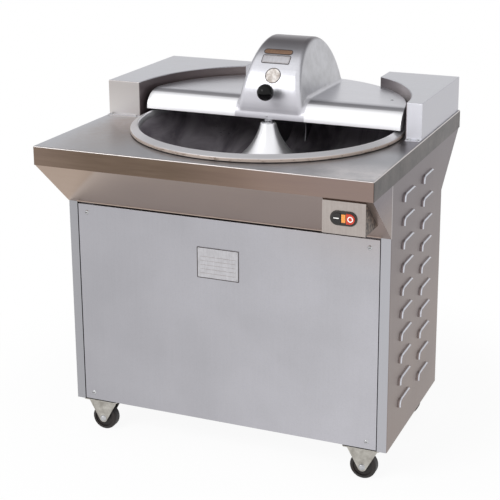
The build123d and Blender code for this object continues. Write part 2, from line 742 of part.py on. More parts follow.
def bowl_spindle():
    """Shaft with the cone that carries the bowl from below."""
    top = CONE_TOP - BOWL_CAP_T
    flare = UNDER_ARC + CLEAR

    def under(z):
        return (arc_y(flare, TROUGH_R, z - AXIS_UP, -1), z)

    low = under(CARRIER_LOW)
    high = under(top)
    middle = under((CARRIER_LOW + top) / 2)
    down = GEARBOX_TOP - 60 - TABLE_H
    with BuildSketch() as section:
        with BuildLine():
            Polyline((0, top), high)
            ThreePointArc(high, middle, low)
            Polyline(low, (low[0], CARRIER_LOW - 5), (SPINDLE_D / 2, CARRIER_LOW - 9), (SPINDLE_D / 2, down),
                     (0, down), (0, top))
        make_face()
    turned = revolve(Plane.XZ * section.sketch, Axis.Z)
    turned -= rod_z(CONE_TOP - BOLT_L - 2, top + 1, 0, 0, BOLT_D / 2 + SNUG)
    return Pos(BOWL_X, 0, TABLE_H) * turned


# ---------------------------------------------------------------- lid


def lid_wing(inset):
    """Half disc with a rounded nose along its front."""
    low = TABLE_H + LID_LOW
    top = TABLE_H + LID_TOP - inset
    bead = low + LID_BEAD
    start = low - (1 if inset else 0)
    nose = LID_NOSE
    depth = nose - LID_FRONT - inset
    flat = Pos((nose + 2 * LID_R) / 2, (start + top) / 2) * Rectangle(2 * LID_R - nose, top - start)
    lower = Pos((LID_FRONT + inset + nose) / 2, (start + bead) / 2) * Rectangle(depth, bead - start)
    curve = Pos(nose, bead) * Ellipse(depth, top - bead)
    upper = Pos(nose - LID_R, bead + LID_R) * Rectangle(2 * LID_R, 2 * LID_R)
    section = Plane.YZ * (flat + lower + (curve & upper))
    slab = extrude(section, amount=LID_R + BOWL_X, both=True)
    return slab & rod_z(start, top, BOWL_X, 0, LID_R - inset)


def hood_form(inset):
    """Hump over the knives: an arc seen from the side, a taper seen from the front."""
    base = TABLE_H + LID_LOW
    low = base - (1 if inset else 0)
    radius = HOOD_R - inset
    centre_z = TABLE_H + HOOD_UP
    above = centre_z + HOOD_R + 1
    stem = Pos(HOOD_Y, (low + centre_z) / 2) * Rectangle(2 * radius, centre_z - low)
    dome = Pos(HOOD_Y, centre_z) * Circle(radius)
    upper = Pos(HOOD_Y, low + HOOD_R) * Rectangle(2 * HOOD_R, 2 * HOOD_R)
    side = extrude(Plane.YZ * ((dome + stem) & upper), amount=HOOD_LOW_W + BOWL_X, both=True)
    lean = (HOOD_LOW_W - HOOD_TOP_W) / (HOOD_R + HOOD_UP - LID_LOW)
    thick = inset * hypot(1, lean)

    def half(z):
        return HOOD_LOW_W - thick - lean * (z - base)

    ends = Polyline((BOWL_X - half(base - 2), base - 2), (BOWL_X + half(base - 2), base - 2),
                    (BOWL_X + half(above), above), (BOWL_X - half(above), above), close=True)
    taper = Pos(0, -LID_R, 0) * extrude(Plane.XZ * make_face(ends), amount=-3 * LID_R)
    form = side & taper
    rims = [e for e in form.edges() if e.bounding_box().size.X < HOOD_LOW_W]
    rims = [e for e in rims if e.bounding_box().max.Z > low + 1]
    return fillet(rims, HOOD_EDGE_R - inset)


def blend_roots(form, level, radius):
    """Round the two long corners where the hood's sides meet the flat of the lid."""
    roots = [e for e in form.edges().filter_by(GeomType.LINE) if e.length > HOOD_R]
    roots = [e for e in roots if abs(e.center().Z - level) < 0.01 and abs(e.tangent_at(0).Y) > 0.99]
    return fillet(roots, radius)


def lid():
    outer = blend_roots(lid_wing(0) + hood_form(0), TABLE_H + LID_TOP, HOOD_ROOT_R)
    inner = blend_roots(lid_wing(SHEET) + hood_form(SHEET), TABLE_H + LID_TOP - SHEET, HOOD_ROOT_R + SHEET)
    notch_half = TUBE_D / 2 + NOTCH_SIDE
    notch_top = TABLE_H + LID_TOP - SHEET
    notch = block(-LID_R, BOWL_X - LID_R / 2, TROUGH_R - notch_half, TROUGH_R + notch_half, 0, notch_top)
    shell = outer - inner - notch
    hole = knob_axis() * rod_z(-2 * SHEET, 2 * SHEET, 0, 0, STUD_D / 2 + SNUG)
    return shell - hole


def knob_axis():
    """Frame on the hood's front, its Z along the outward normal."""
    angle = radians(KNOB_ANGLE)
    y = HOOD_Y - HOOD_R * cos(angle)
    z = TABLE_H + HOOD_UP + HOOD_R * sin(angle)
    return Location(Plane(origin=(KNOB_X, y, z), x_dir=(1, 0, 0), z_dir=(0, -cos(angle), sin(angle))))


def knob_stud():
    nut = extrude(RegularPolygon(STUD_NUT / 2, 6, major_radius=False), amount=STUD_NUT_H)
    stud = rod_z(-SHEET - STUD_NUT_H - 1, KNOB_STEM + KNOB_GRIP, 0, 0, STUD_D / 2)
    return knob_axis() * (nut + stud + Pos(0, 0, -SHEET - STUD_NUT_H - CLEAR) * nut)


def ball_knob():
    ball = Pos(0, 0, KNOB_STEM + KNOB_D / 2 - 1) * Sphere(KNOB_D / 2)
    ball &= block(-KNOB_D, KNOB_D, -KNOB_D, KNOB_D, KNOB_STEM, KNOB_STEM + KNOB_D)
    ball -= rod_z(0, KNOB_STEM + KNOB_GRIP, 0, 0, STUD_D / 2 + SNUG)
    return knob_axis() * ball


def hinge_spots():
    return [BOWL_X - HINGE_SPAN, BOWL_X + HINGE_SPAN]


def lid_hinge_leaves():
    leaves = []
    for x in hinge_spots():
        half = LEAF_W / 2
        low = HINGE_Z - LEAF_DOWN
        high = HINGE_Z + LEAF_UP
        near = x - half - 1
        far = x + half + 1
        leaf = block(x - half, x + half, HINGE_Y - LEAF_BACK, HINGE_Y, low, high)
        leaf -= block(near, far, HINGE_Y - LUG_R + 2, HINGE_Y + 1, low - 1, HINGE_Z - 3)
        leaf -= rod_z(low - 1, high + 1, BOWL_X, 0, LID_R)
        barrel = rod_x(x - half + HINGE_PLAY, x + half - HINGE_PLAY, HINGE_Y, HINGE_Z, HINGE_BARREL_D / 2)
        leaf -= block(near, far, HINGE_Y - 3, HINGE_Y + 1, HINGE_Z, high + 1)
        leaf = leaf + barrel
        leaf -= rod_x(x - half - 1, x + half + 1, HINGE_Y, HINGE_Z, HINGE_PIN_D / 2 + RUN_FIT)
        leaves.append(leaf)
    return Compound(children=leaves)


def hinge_lugs():
    """Lugs beside each leaf, on feet that stand on the worktop."""
    lugs = []
    for x in hinge_spots():
        for side in (-1, 1):
            near = x + side * (LEAF_W / 2 + HINGE_PLAY)
            span = sorted((near, near + side * LUG_T))
            y0 = HINGE_Y - LUG_R
            y1 = HINGE_Y + LUG_R
            lug = block(span[0], span[1], y0, y1, TABLE_H, HINGE_Z)
            lug += rod_x(span[0], span[1], HINGE_Y, HINGE_Z, LUG_R)
            foot = sorted((near, near + side * LUG_FOOT_W))
            lug += block(foot[0], foot[1], y0, y1, TABLE_H, TABLE_H + LUG_FOOT_T)
            lug -= rod_x(span[0] - 1, span[1] + 1, HINGE_Y, HINGE_Z, HINGE_PIN_D / 2 + SNUG)
            lugs.append(lug)
    return Compound(children=lugs)


def hinge_pin():
    reach = HINGE_SPAN + LEAF_W / 2 + HINGE_PLAY + LUG_T + 3
    pin = rod_x(BOWL_X - reach, BOWL_X + reach, HINGE_Y, HINGE_Z, HINGE_PIN_D / 2)
    return chamfer(pin.edges().filter_by(GeomType.CIRCLE), 1)


# ---------------------------------------------------------------- knives and their shaft


def knife_planes():
    first = BOWL_X - KNIFE_PITCH * (KNIFE_COUNT - 1) / 2
    return [first + i * KNIFE_PITCH for i in range(KNIFE_COUNT)]


def knife(x, turn):
    """Sickle blade with a ring hub, one flat plate in the YZ plane."""
    r = KNIFE_R
    tip = (1.05 * r * cos(radians(KNIFE_TIP)), 1.05 * r * sin(radians(KNIFE_TIP)))
    with BuildSketch() as flat:
        with BuildLine():
            ThreePointArc((-KNIFE_HUB_R, 0), (-0.50 * r, 0.66 * r), (0.25 * r, 1.02 * r))
            Line((0.25 * r, 1.02 * r), tip)
            ThreePointArc(tip, (0.20 * r, 0.46 * r), (KNIFE_HUB_R, 0))
            Line((KNIFE_HUB_R, 0), (-KNIFE_HUB_R, 0))
        make_face()
        Circle(KNIFE_HUB_R)
        Circle(KNIFE_R, mode=Mode.INTERSECT)
        Circle(SHAFT_D / 2 + SNUG, mode=Mode.SUBTRACT)
    blade = extrude(Plane.YZ * flat.sketch, amount=KNIFE_T)
    return Pos(x - KNIFE_T / 2, TROUGH_R, AXIS_Z) * Rot(turn, 0, 0) * blade


def knife_shaft():
    start = KNIFE_BELT_X - BELT_W
    end = knife_planes()[-1] + SHAFT_END
    shaft = rod_x(start, end, TROUGH_R, AXIS_Z, SHAFT_D / 2)
    collar_x = knife_planes()[0] - KNIFE_T / 2
    shaft += rod_x(collar_x - SHAFT_COLLAR_L, collar_x, TROUGH_R, AXIS_Z, SHAFT_COLLAR_R)
    return shaft


def knife_clamp():
    """Spacers between the knives and the nut that holds the stack."""
    planes = knife_planes()
    pieces = []
    for left, right in zip(planes, planes[1:]):
        spacer = rod_x(left + KNIFE_T / 2, right - KNIFE_T / 2, TROUGH_R, AXIS_Z, SPACER_R)
        pieces.append(spacer - rod_x(left, right, TROUGH_R, AXIS_Z, SHAFT_D / 2 + SNUG))
    last = planes[-1] + KNIFE_T / 2
    hexagon = Plane.YZ * RegularPolygon(SHAFT_NUT / 2, 6, major_radius=False)
    nut = Pos(last, TROUGH_R, AXIS_Z) * extrude(hexagon, amount=SHAFT_NUT_H)
    nut += rod_x(last, last + KNIFE_T, TROUGH_R, AXIS_Z, SPACER_R)
    pieces.append(nut - rod_x(last - 1, last + SHAFT_END, TROUGH_R, AXIS_Z, SHAFT_D / 2 + SNUG))
    return Compound(children=pieces)


def knife_bearing_housing():
    """Pedestal on the worktop with the long tube that carries the shaft over the rim."""
    x0 = BEARING_X
    x1 = x0 + BEARING_L
    half = BEARING_FOOT / 2
    foot_z = TABLE_H + BEARING_FOOT_T
    tube = rod_x(x0 - TUBE_D / 5, TUBE_END, TROUGH_R, AXIS_Z, TUBE_D / 2)
    boss = rod_x(x0, x1, TROUGH_R, AXIS_Z, BEARING_R)
    foot = block(x0 - 2, x1 + 2, TROUGH_R - half, TROUGH_R + half, TABLE_H, foot_z)
    foot = fillet(foot.edges().filter_by(Axis.Z), 6)
    low = half - 5
    high = BEARING_R - 4
    web = [(TROUGH_R - low, foot_z), (TROUGH_R + low, foot_z),
           (TROUGH_R + high, AXIS_Z), (TROUGH_R - high, AXIS_Z)]
    body = boss + foot + prism_yz(web, x0 + 8, x1 - 8) + tube
    return body - rod_x(x0 - 20, BOWL_X, TROUGH_R, AXIS_Z, SHAFT_D / 2 + RUN_FIT)


def vee(top_half, low_half, top, low):
    """Trapezoid of a V groove or V belt, wide side up."""
    return [(-low_half, low), (-top_half, top), (top_half, top), (low_half, low)]


def vee_pulley(radius, bore, hub_r, hub_l):
    """V-groove pulley along X, its groove's middle at the origin, hub towards +X."""
    half = BELT_W / 2 + PULLEY_FLANGE
    outer = radius + BELT_T / 2
    low_half = BELT_W / 2 - VEE_SIDE * GROOVE_DEEP
    groove = vee(BELT_W / 2, low_half, outer + 0.01, outer - BELT_T * GROOVE_DEEP)
    points = [(-half, bore), (-half, outer), groove[1], groove[0], groove[3], groove[2],
              (half, outer), (half, hub_r), (half + hub_l, hub_r), (half + hub_l, bore)]
    section = Plane.XZ * make_face(Polyline(*points, close=True))
    return revolve(section, Axis.X)


def belt(x, y0, z0, r0, y1, z1, r1):
    """V-belt round two pulleys, as a trapezoid swept along the loop."""
    tilt = atan2(z1 - z0, y1 - y0)
    lean = acos((r0 - r1) / hypot(y1 - y0, z1 - z0))

    def spot(y, z, r, angle):
        return (x, y + r * cos(angle), z + r * sin(angle))

    a0 = spot(y0, z0, r0, tilt + lean)
    a1 = spot(y1, z1, r1, tilt + lean)
    b0 = spot(y0, z0, r0, tilt - lean)
    b1 = spot(y1, z1, r1, tilt - lean)
    over = ThreePointArc(a1, spot(y1, z1, r1, tilt), b1)
    round_low = ThreePointArc(b0, spot(y0, z0, r0, tilt + pi), a0)
    path = Wire([Line(a0, a1), over, Line(b1, b0), round_low])
    out = (0, cos(tilt + lean), sin(tilt + lean))
    section_plane = Plane(origin=a0, x_dir=(1, 0, 0), z_dir=Vector(*a0).sub(Vector(*a1)))
    face_up = 1 if section_plane.y_dir.dot(Vector(*out)) > 0 else -1
    wide = BELT_W / 2 - BELT_GAP
    points = vee(wide, wide - VEE_SIDE, BELT_T / 2 * face_up, -BELT_T / 2 * face_up)
    section = section_plane * make_face(Polyline(*points, close=True))
    return sweep(section, path=path)


# ---------------------------------------------------------------- motor


def motor_body():
    x0 = MOTOR_X
    x1 = x0 + MOTOR_L
    core = rod_x(x0, x1, MOTOR_Y, MOTOR_Z, MOTOR_R - 12)
    fin = block(x0 + 12, x1 - 6, -1.5, 1.5, 0, MOTOR_R)
    fins = [Pos(0, MOTOR_Y, MOTOR_Z) * Rot(a, 0, 0) * fin for a in range(-75, 256, 15)]
    body = core + fins
    for x in (x0, x1 - 14):
        body += rod_x(x, x + 14, MOTOR_Y, MOTOR_Z, MOTOR_R)
    nose = Pos(x0 - 9, MOTOR_Y, MOTOR_Z) * Rot(0, -90, 0) * Cone(MOTOR_R - 12, 34, 18)
    feet = [block(x, x + 34, MOTOR_Y - 78, MOTOR_Y + 78, MOTOR_Z - MOTOR_UP, MOTOR_Z - MOTOR_UP + 12)
            for x in (x0 + 6, x1 - 46)]
    legs = [block(x + 8, x + 26, MOTOR_Y - 60, MOTOR_Y + 60, MOTOR_Z - MOTOR_UP, MOTOR_Z - 40)
            for x in (x0 + 6, x1 - 46)]
    box = fillet(block(x0 + 40, x0 + 130, MOTOR_Y - 45, MOTOR_Y + 45, MOTOR_Z + 60, MOTOR_Z + MOTOR_R + 34).edges(), 4)
    body = body + nose + feet + legs + box
    body -= rod_x(x0 - 40, x1 + 1, MOTOR_Y, MOTOR_Z, MOTOR_SHAFT_D / 2 + RUN_FIT)
    return body


def motor_fan_cover():
    x0 = MOTOR_X + MOTOR_L
    x1 = x0 + FAN_COVER_L
    cover = rod_x(x0, x1, MOTOR_Y, MOTOR_Z, MOTOR_R)
    cover = fillet(cover.edges().sort_by(Axis.X)[-1], 10)
    hollow = rod_x(x0 - 1, x1 - SHEET, MOTOR_Y, MOTOR_Z, MOTOR_R - SHEET)
    cover -= fillet(hollow.edges().sort_by(Axis.X)[-1], 10 - SHEET)
    for ring in range(1, 4):
        count = 6 * ring
        for i in range(count):
            a = 2 * pi * i / count
            y = MOTOR_Y + ring * 18 * cos(a)
            z = MOTOR_Z + ring * 18 * sin(a)
            cover -= rod_x(x1 - 6, x1 + 1, y, z, 4)
    return cover


def motor_fan():
    x0 = MOTOR_X + MOTOR_L + 6
    hub = rod_x(x0, x0 + 24, MOTOR_Y, MOTOR_Z, 20)
    blade = block(x0 + 2, x0 + 22, -1.5, 1.5, 15, MOTOR_R - 12)
    blades = [Pos(0, MOTOR_Y, MOTOR_Z) * Rot(a, 0, 0) * blade for a in range(0, 360, 60)]
    return hub + blades - rod_x(x0 - 1, x0 + 30, MOTOR_Y, MOTOR_Z, MOTOR_SHAFT_D / 2 + SNUG)


def motor_shaft():
    return rod_x(KNIFE_BELT_X - 12, MOTOR_X + MOTOR_L + 32, MOTOR_Y, MOTOR_Z, MOTOR_SHAFT_D / 2)


def motor_pulley():
    bore = MOTOR_SHAFT_D / 2 + SNUG
    big = vee_pulley(MOTOR_KNIFE_R, bore, 26, BOWL_BELT_X - KNIFE_BELT_X - BELT_W - 6)
    small = vee_pulley(MOTOR_BOWL_R, bore, 22, 8)
    pair = Pos(KNIFE_BELT_X, 0, 0) * big + Pos(BOWL_BELT_X, 0, 0) * small
    return Pos(0, MOTOR_Y, MOTOR_Z) * pair


def motor_rails():
    rails = []
    for x in (MOTOR_X + 23, MOTOR_X + MOTOR_L - 29):
        rail = block(x - 22, x + 22, MOTOR_Y - 75, MOTOR_Y + 75, PAN_TOP, PAN_TOP + RAIL_H)
        rail -= block(x - 6, x + 6, MOTOR_Y - 66, MOTOR_Y + 66, PAN_TOP + 6, PAN_TOP + RAIL_H + 1)
        rails.append(rail)
    return Compound(children=rails)


# ---------------------------------------------------------------- bowl drive


def gearbox():
    """Worm gearbox on its stand, with the long sleeve of the input shaft."""
    z0 = GEARBOX_TOP - GEARBOX_H
    half_l = GEARBOX_L / 2
    worm_y = WORM_OFFSET
    case = block(BOWL_X - half_l, BOWL_X + half_l, -GEARBOX_W / 2 + 10, worm_y + 34, z0 + 8, GEARBOX_TOP)
    case = fillet(case.edges().filter_by(Axis.Z), 24)
    case = fillet(case.faces().sort_by(Axis.Z)[-1].edges(), 6)
    foot = block(BOWL_X - half_l - 8, BOWL_X + half_l + 8, -GEARBOX_W / 2, worm_y + 44, z0, z0 + 12)
    foot = fillet(foot.edges().filter_by(Axis.Z), 8)
    neck = Pos(BOWL_X, 0, GEARBOX_TOP + 20) * Cone(46, 32, 40)
    sleeve = rod_x(BOWL_X - half_l - SLEEVE_L, BOWL_X - half_l + 20, worm_y, WORM_Z, SLEEVE_D / 2)
    flange = rod_x(BOWL_X - half_l - 10, BOWL_X - half_l + 10, worm_y, WORM_Z, 44)
    end = rod_x(BOWL_X + half_l - 10, BOWL_X + half_l + 8, worm_y, WORM_Z, 36)
    body = case + foot + neck + sleeve + flange + end
    body -= rod_z(GEARBOX_TOP - 62, GEARBOX_TOP + 60, BOWL_X, 0, SPINDLE_D / 2 + RUN_FIT)
    return body - rod_x(BOWL_X - half_l - SLEEVE_L - 1, BOWL_X - half_l, worm_y, WORM_Z, WORM_D / 2 + RUN_FIT)


def worm_shaft():
    return rod_x(BOWL_BELT_X - 12, BOWL_X - GEARBOX_L / 2 - 1, WORM_OFFSET, WORM_Z, WORM_D / 2)


def worm_pulley():
    wheel_part = vee_pulley(WORM_PULLEY_R, WORM_D / 2 + SNUG, 24, 14)
    for i in range(5):
        a = 2 * pi * i / 5
        wheel_part -= rod_x(-20, 30, 40 * cos(a), 40 * sin(a), 9)
    return Pos(BOWL_BELT_X, WORM_OFFSET, WORM_Z) * wheel_part


def gearbox_stand():
    """Bent plate portal that carries the gearbox over the base pan."""
    z1 = GEARBOX_TOP - GEARBOX_H
    half = GEARBOX_L / 2 + STAND_SIDE
    y0 = -GEARBOX_W / 2 - 6
    y1 = WORM_OFFSET + 50
    stand = block(BOWL_X - half, BOWL_X + half, y0, y1, PAN_TOP, z1)
    stand = fillet(stand.edges().filter_by(Axis.Y).group_by(Axis.Z)[-1], STAND_T * 1.5)
    stand -= block(BOWL_X - half + STAND_T, BOWL_X + half - STAND_T, y0 - 1, y1 + 1, PAN_TOP - 1, z1 - STAND_T)
    for side in (-1, 1):
        x = sorted((BOWL_X + side * half, BOWL_X + side * (half + STAND_FOOT)))
        stand += block(x[0], x[1], y0, y1, PAN_TOP, PAN_TOP + STAND_T)
    y = (y0 + STAND_WINDOW_IN, y1 - STAND_WINDOW_IN)
    window = block(-2 * half, 2 * half, y[0], y[1], PAN_TOP + STAND_WINDOW_UP, z1 - STAND_WINDOW_UP)
    window = fillet(window.edges().filter_by(Axis.X), 14)
    return stand - Pos(BOWL_X, 0, 0) * window


def contactor_box():
    """Enclosure of the starter gear, closed by a lid with a small brim."""
    x1 = CONTACTOR_X + CONTACTOR_W
    y1 = CONTACTOR_Y + CONTACTOR_D
    top = PAN_TOP + CONTACTOR_H
    brim = CONTACTOR_LID
    box = block(CONTACTOR_X, x1, CONTACTOR_Y, y1, PAN_TOP, top)
    box = fillet(box.edges().filter_by(Axis.Z), 5)
    cover = block(CONTACTOR_X - brim, x1 + brim, CONTACTOR_Y - brim, CONTACTOR_Y + brim, PAN_TOP + 2 * brim, top - brim)
    return box + fillet(cover.edges().filter_by(Axis.Y), 4)


# ---------------------------------------------------------------- switch box


def switch_levels():
    high = TABLE_H - BOX_DOWN
    return high - BOX_H, high


def slope_y(z):
    (y0, z0), (y1, z1) = skirt_line(True)
    return y0 + (z - z0) * (y1 - y0) / (z1 - z0)


def switch_box():
    """Wedge-shaped box: its face upright, its back closed by the sloping skirt."""
    low, high = switch_levels()
    face = FRONT_Y + BOX_FRONT_IN

    def wedge(inset, back):
        pts = [(face + inset, low + inset), (slope_y(low + inset) + back, low + inset),
               (slope_y(high - inset) + back, high - inset), (face + inset, high - inset)]
        return prism_yz(pts, BOX_X - BOX_W / 2 + inset, BOX_X + BOX_W / 2 - inset)

    box = wedge(0, 0) - wedge(SHEET, 4)
    return box - Pos(BOX_X, 0, 0) * button_bore(face - 1, face + SHEET + 1, BORE_FIT)


def button_bore(y0, y1, clear):
    low, high = switch_levels()
    middle = (low + high) / 2
    form = Plane.XZ * SlotOverall(BEZEL_W - 2 * (BEZEL_RIM - clear), BEZEL_H - 2 * (BEZEL_RIM - clear))
    return Pos(0, y1, middle) * extrude(form, amount=y1 - y0)


def button_sketch(start, clear):
    """Half of the oblong, left for start and right for stop."""
    edge = 2 * (BEZEL_RIM + WELL_GAP + clear)
    plate = SlotOverall(BEZEL_W - edge, BEZEL_H - edge)
    side = -1 if start else 1
    near = LAMP_W / 2 + clear
    cut = Pos(side * (near + BEZEL_W / 2), 0) * Rectangle(BEZEL_W, BEZEL_H)
    return plate & cut


def bezel():
    low, high = switch_levels()
    face = FRONT_Y + BOX_FRONT_IN
    middle = (low + high) / 2
    ring = Plane.XZ * SlotOverall(BEZEL_W, BEZEL_H)
    back = Plane.XZ * SlotOverall(BEZEL_W - 2 * BEZEL_RIM, BEZEL_H - 2 * BEZEL_RIM)
    body = Pos(BOX_X, face, middle) * extrude(ring, amount=BEZEL_T)
    body = fillet(body.faces().sort_by(Axis.Y)[0].edges(), 1)
    body += Pos(BOX_X, face + BEZEL_DEPTH, middle) * extrude(back, amount=BEZEL_DEPTH + BEZEL_T / 5)
    for start in (True, False):
        well = Plane.XZ * button_sketch(start, 0)
        body -= Pos(BOX_X, face + BEZEL_DEPTH + 1, middle) * extrude(well, amount=2 * BEZEL_DEPTH)
    lens = Plane.XZ * Rectangle(LAMP_W - 2 * LENS_EDGE, BEZEL_H - 2 * LENS_END)
    return body - Pos(BOX_X, face + LENS_DEPTH, middle) * extrude(lens, amount=2 * BEZEL_DEPTH)


def lamp_lens():
    low, high = switch_levels()
    face = FRONT_Y + BOX_FRONT_IN
    wide = LAMP_W - 2 * (LENS_EDGE + LENS_FIT)
    tall = BEZEL_H - 2 * (LENS_END + LENS_FIT)
    lens = Plane.XZ * Rectangle(wide, tall)
    reach = LENS_DEPTH + BEZEL_T + LENS_PROUD
    return Pos(BOX_X, face + LENS_DEPTH, (low + high) / 2) * extrude(lens, amount=reach)


def button(start):
    low, high = switch_levels()
    face = FRONT_Y + BOX_FRONT_IN
    form = Plane.XZ * button_sketch(start, CLEAR)
    reach = BUTTON_L + BEZEL_T + BUTTON_PROUD
    return Pos(BOX_X, face + BUTTON_L, (low + high) / 2) * extrude(form, amount=reach)


# ---------------------------------------------------------------- whole machine


def build():
    keep("worktop", worktop())
    keep("front_skirt", front_skirt())
    keep("rear_skirt", rear_skirt())
    panel = side_panel()
    keep("right_side_panel", panel)
    keep("left_side_panel", mirror_x(panel))
    keep("front_panel", cabinet_panel(True))
    keep("rear_panel", cabinet_panel(False))
    keep("panel_screws", panel_screws())
    keep("base_pan", base_pan())
    keep("cable_gland", cable_gland())
    casters()
    keep("left_housing", housing(False))
    keep("right_housing", housing(True))
    keep("housing_screws", housing_screws())
    keep("bowl", bowl())
    keep("bowl_bolt", bowl_bolt())
    keep("bowl_spindle", bowl_spindle())
    keep("lid", lid())
    keep("knob_stud", knob_stud())
    keep("ball_knob", ball_knob())
    keep("lid_hinge_leaves", lid_hinge_leaves())
    keep("hinge_lugs", hinge_lugs())
    keep("hinge_pin", hinge_pin())
    for i, x in enumerate(knife_planes()):
        keep(f"knife_{i + 1}", knife(x, 360 * i / KNIFE_COUNT))
    keep("knife_shaft", knife_shaft())
    keep("knife_clamp", knife_clamp())
    keep("knife_bearing_housing", knife_bearing_housing())
    knife_pulley = vee_pulley(KNIFE_PULLEY_R, SHAFT_D / 2 + SNUG, 16, 9)
    keep("knife_pulley", Pos(KNIFE_BELT_X, TROUGH_R, AXIS_Z) * knife_pulley)
    keep("knife_belt", belt(KNIFE_BELT_X, MOTOR_Y, MOTOR_Z, MOTOR_KNIFE_R, TROUGH_R, AXIS_Z, KNIFE_PULLEY_R))
    keep("motor_body", motor_body())
    keep("motor_fan_cover", motor_fan_cover())
    keep("motor_fan", motor_fan())
    keep("motor_shaft", motor_shaft())
    keep("motor_pulley", motor_pulley())
    keep("motor_rails", motor_rails())
    keep("gearbox", gearbox())
    keep("gearbox_stand", gearbox_stand())
    keep("worm_shaft", worm_shaft())
    keep("worm_pulley", worm_pulley())
    keep("bowl_belt", belt(BOWL_BELT_X, MOTOR_Y, MOTOR_Z, MOTOR_BOWL_R, WORM_OFFSET, WORM_Z, WORM_PULLEY_R))
    keep("contactor_box", contactor_box())
    keep("switch_box", switch_box())
    keep("button_bezel", bezel())
    keep("lamp_lens", lamp_lens())
    keep("start_button", button(True))
    keep("stop_button", button(False))


build()
os.makedirs("parts", exist_ok=True)
for name, shape in nodes.items():
    export_step(shape, f"parts/{name}.step")
print(len(nodes), "nodes")
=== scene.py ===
import math
import bmesh
import bpy
from mathutils import Matrix, Vector


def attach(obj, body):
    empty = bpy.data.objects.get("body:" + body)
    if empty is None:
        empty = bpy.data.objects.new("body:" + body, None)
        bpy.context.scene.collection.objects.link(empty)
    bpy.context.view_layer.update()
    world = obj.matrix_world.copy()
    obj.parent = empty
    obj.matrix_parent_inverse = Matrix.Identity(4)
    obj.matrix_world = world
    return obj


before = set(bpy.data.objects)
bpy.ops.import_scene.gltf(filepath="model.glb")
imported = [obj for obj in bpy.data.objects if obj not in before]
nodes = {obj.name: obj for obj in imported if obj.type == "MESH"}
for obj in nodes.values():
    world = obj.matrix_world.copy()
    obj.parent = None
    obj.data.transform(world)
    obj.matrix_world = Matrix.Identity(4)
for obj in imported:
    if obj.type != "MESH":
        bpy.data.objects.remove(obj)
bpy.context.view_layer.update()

# metres, as in the frame
TABLE_BEND_Z = 0.713        # where the apron ends and the front skirt begins
CABINET_TOP_Z = 0.592
PANEL_Y = -0.2175           # face of the cabinet's front panel
BOWL_X = 0.024              # the bowl, the lid and its hood share this middle
HOUSING_ARC = 0.3372
HOOD_Y, HOOD_Z, HOOD_R = 0.157, 0.801, 0.151
BUTTON_Y, BUTTON_Z = -0.3560, 0.6715
SKIN = 0.0002               # plates start this far inside the sheet they lie on


# ---------------------------------------------------------------- colours
def linear(code):
    """Linear RGBA from a six-digit sRGB code."""
    out = []
    for i in (0, 2, 4):
        v = int(code[i:i + 2], 16) / 255.0
        out.append(v / 12.92 if v <= 0.04045 else ((v + 0.055) / 1.055) ** 2.4)
    return (out[0], out[1], out[2], 1.0)


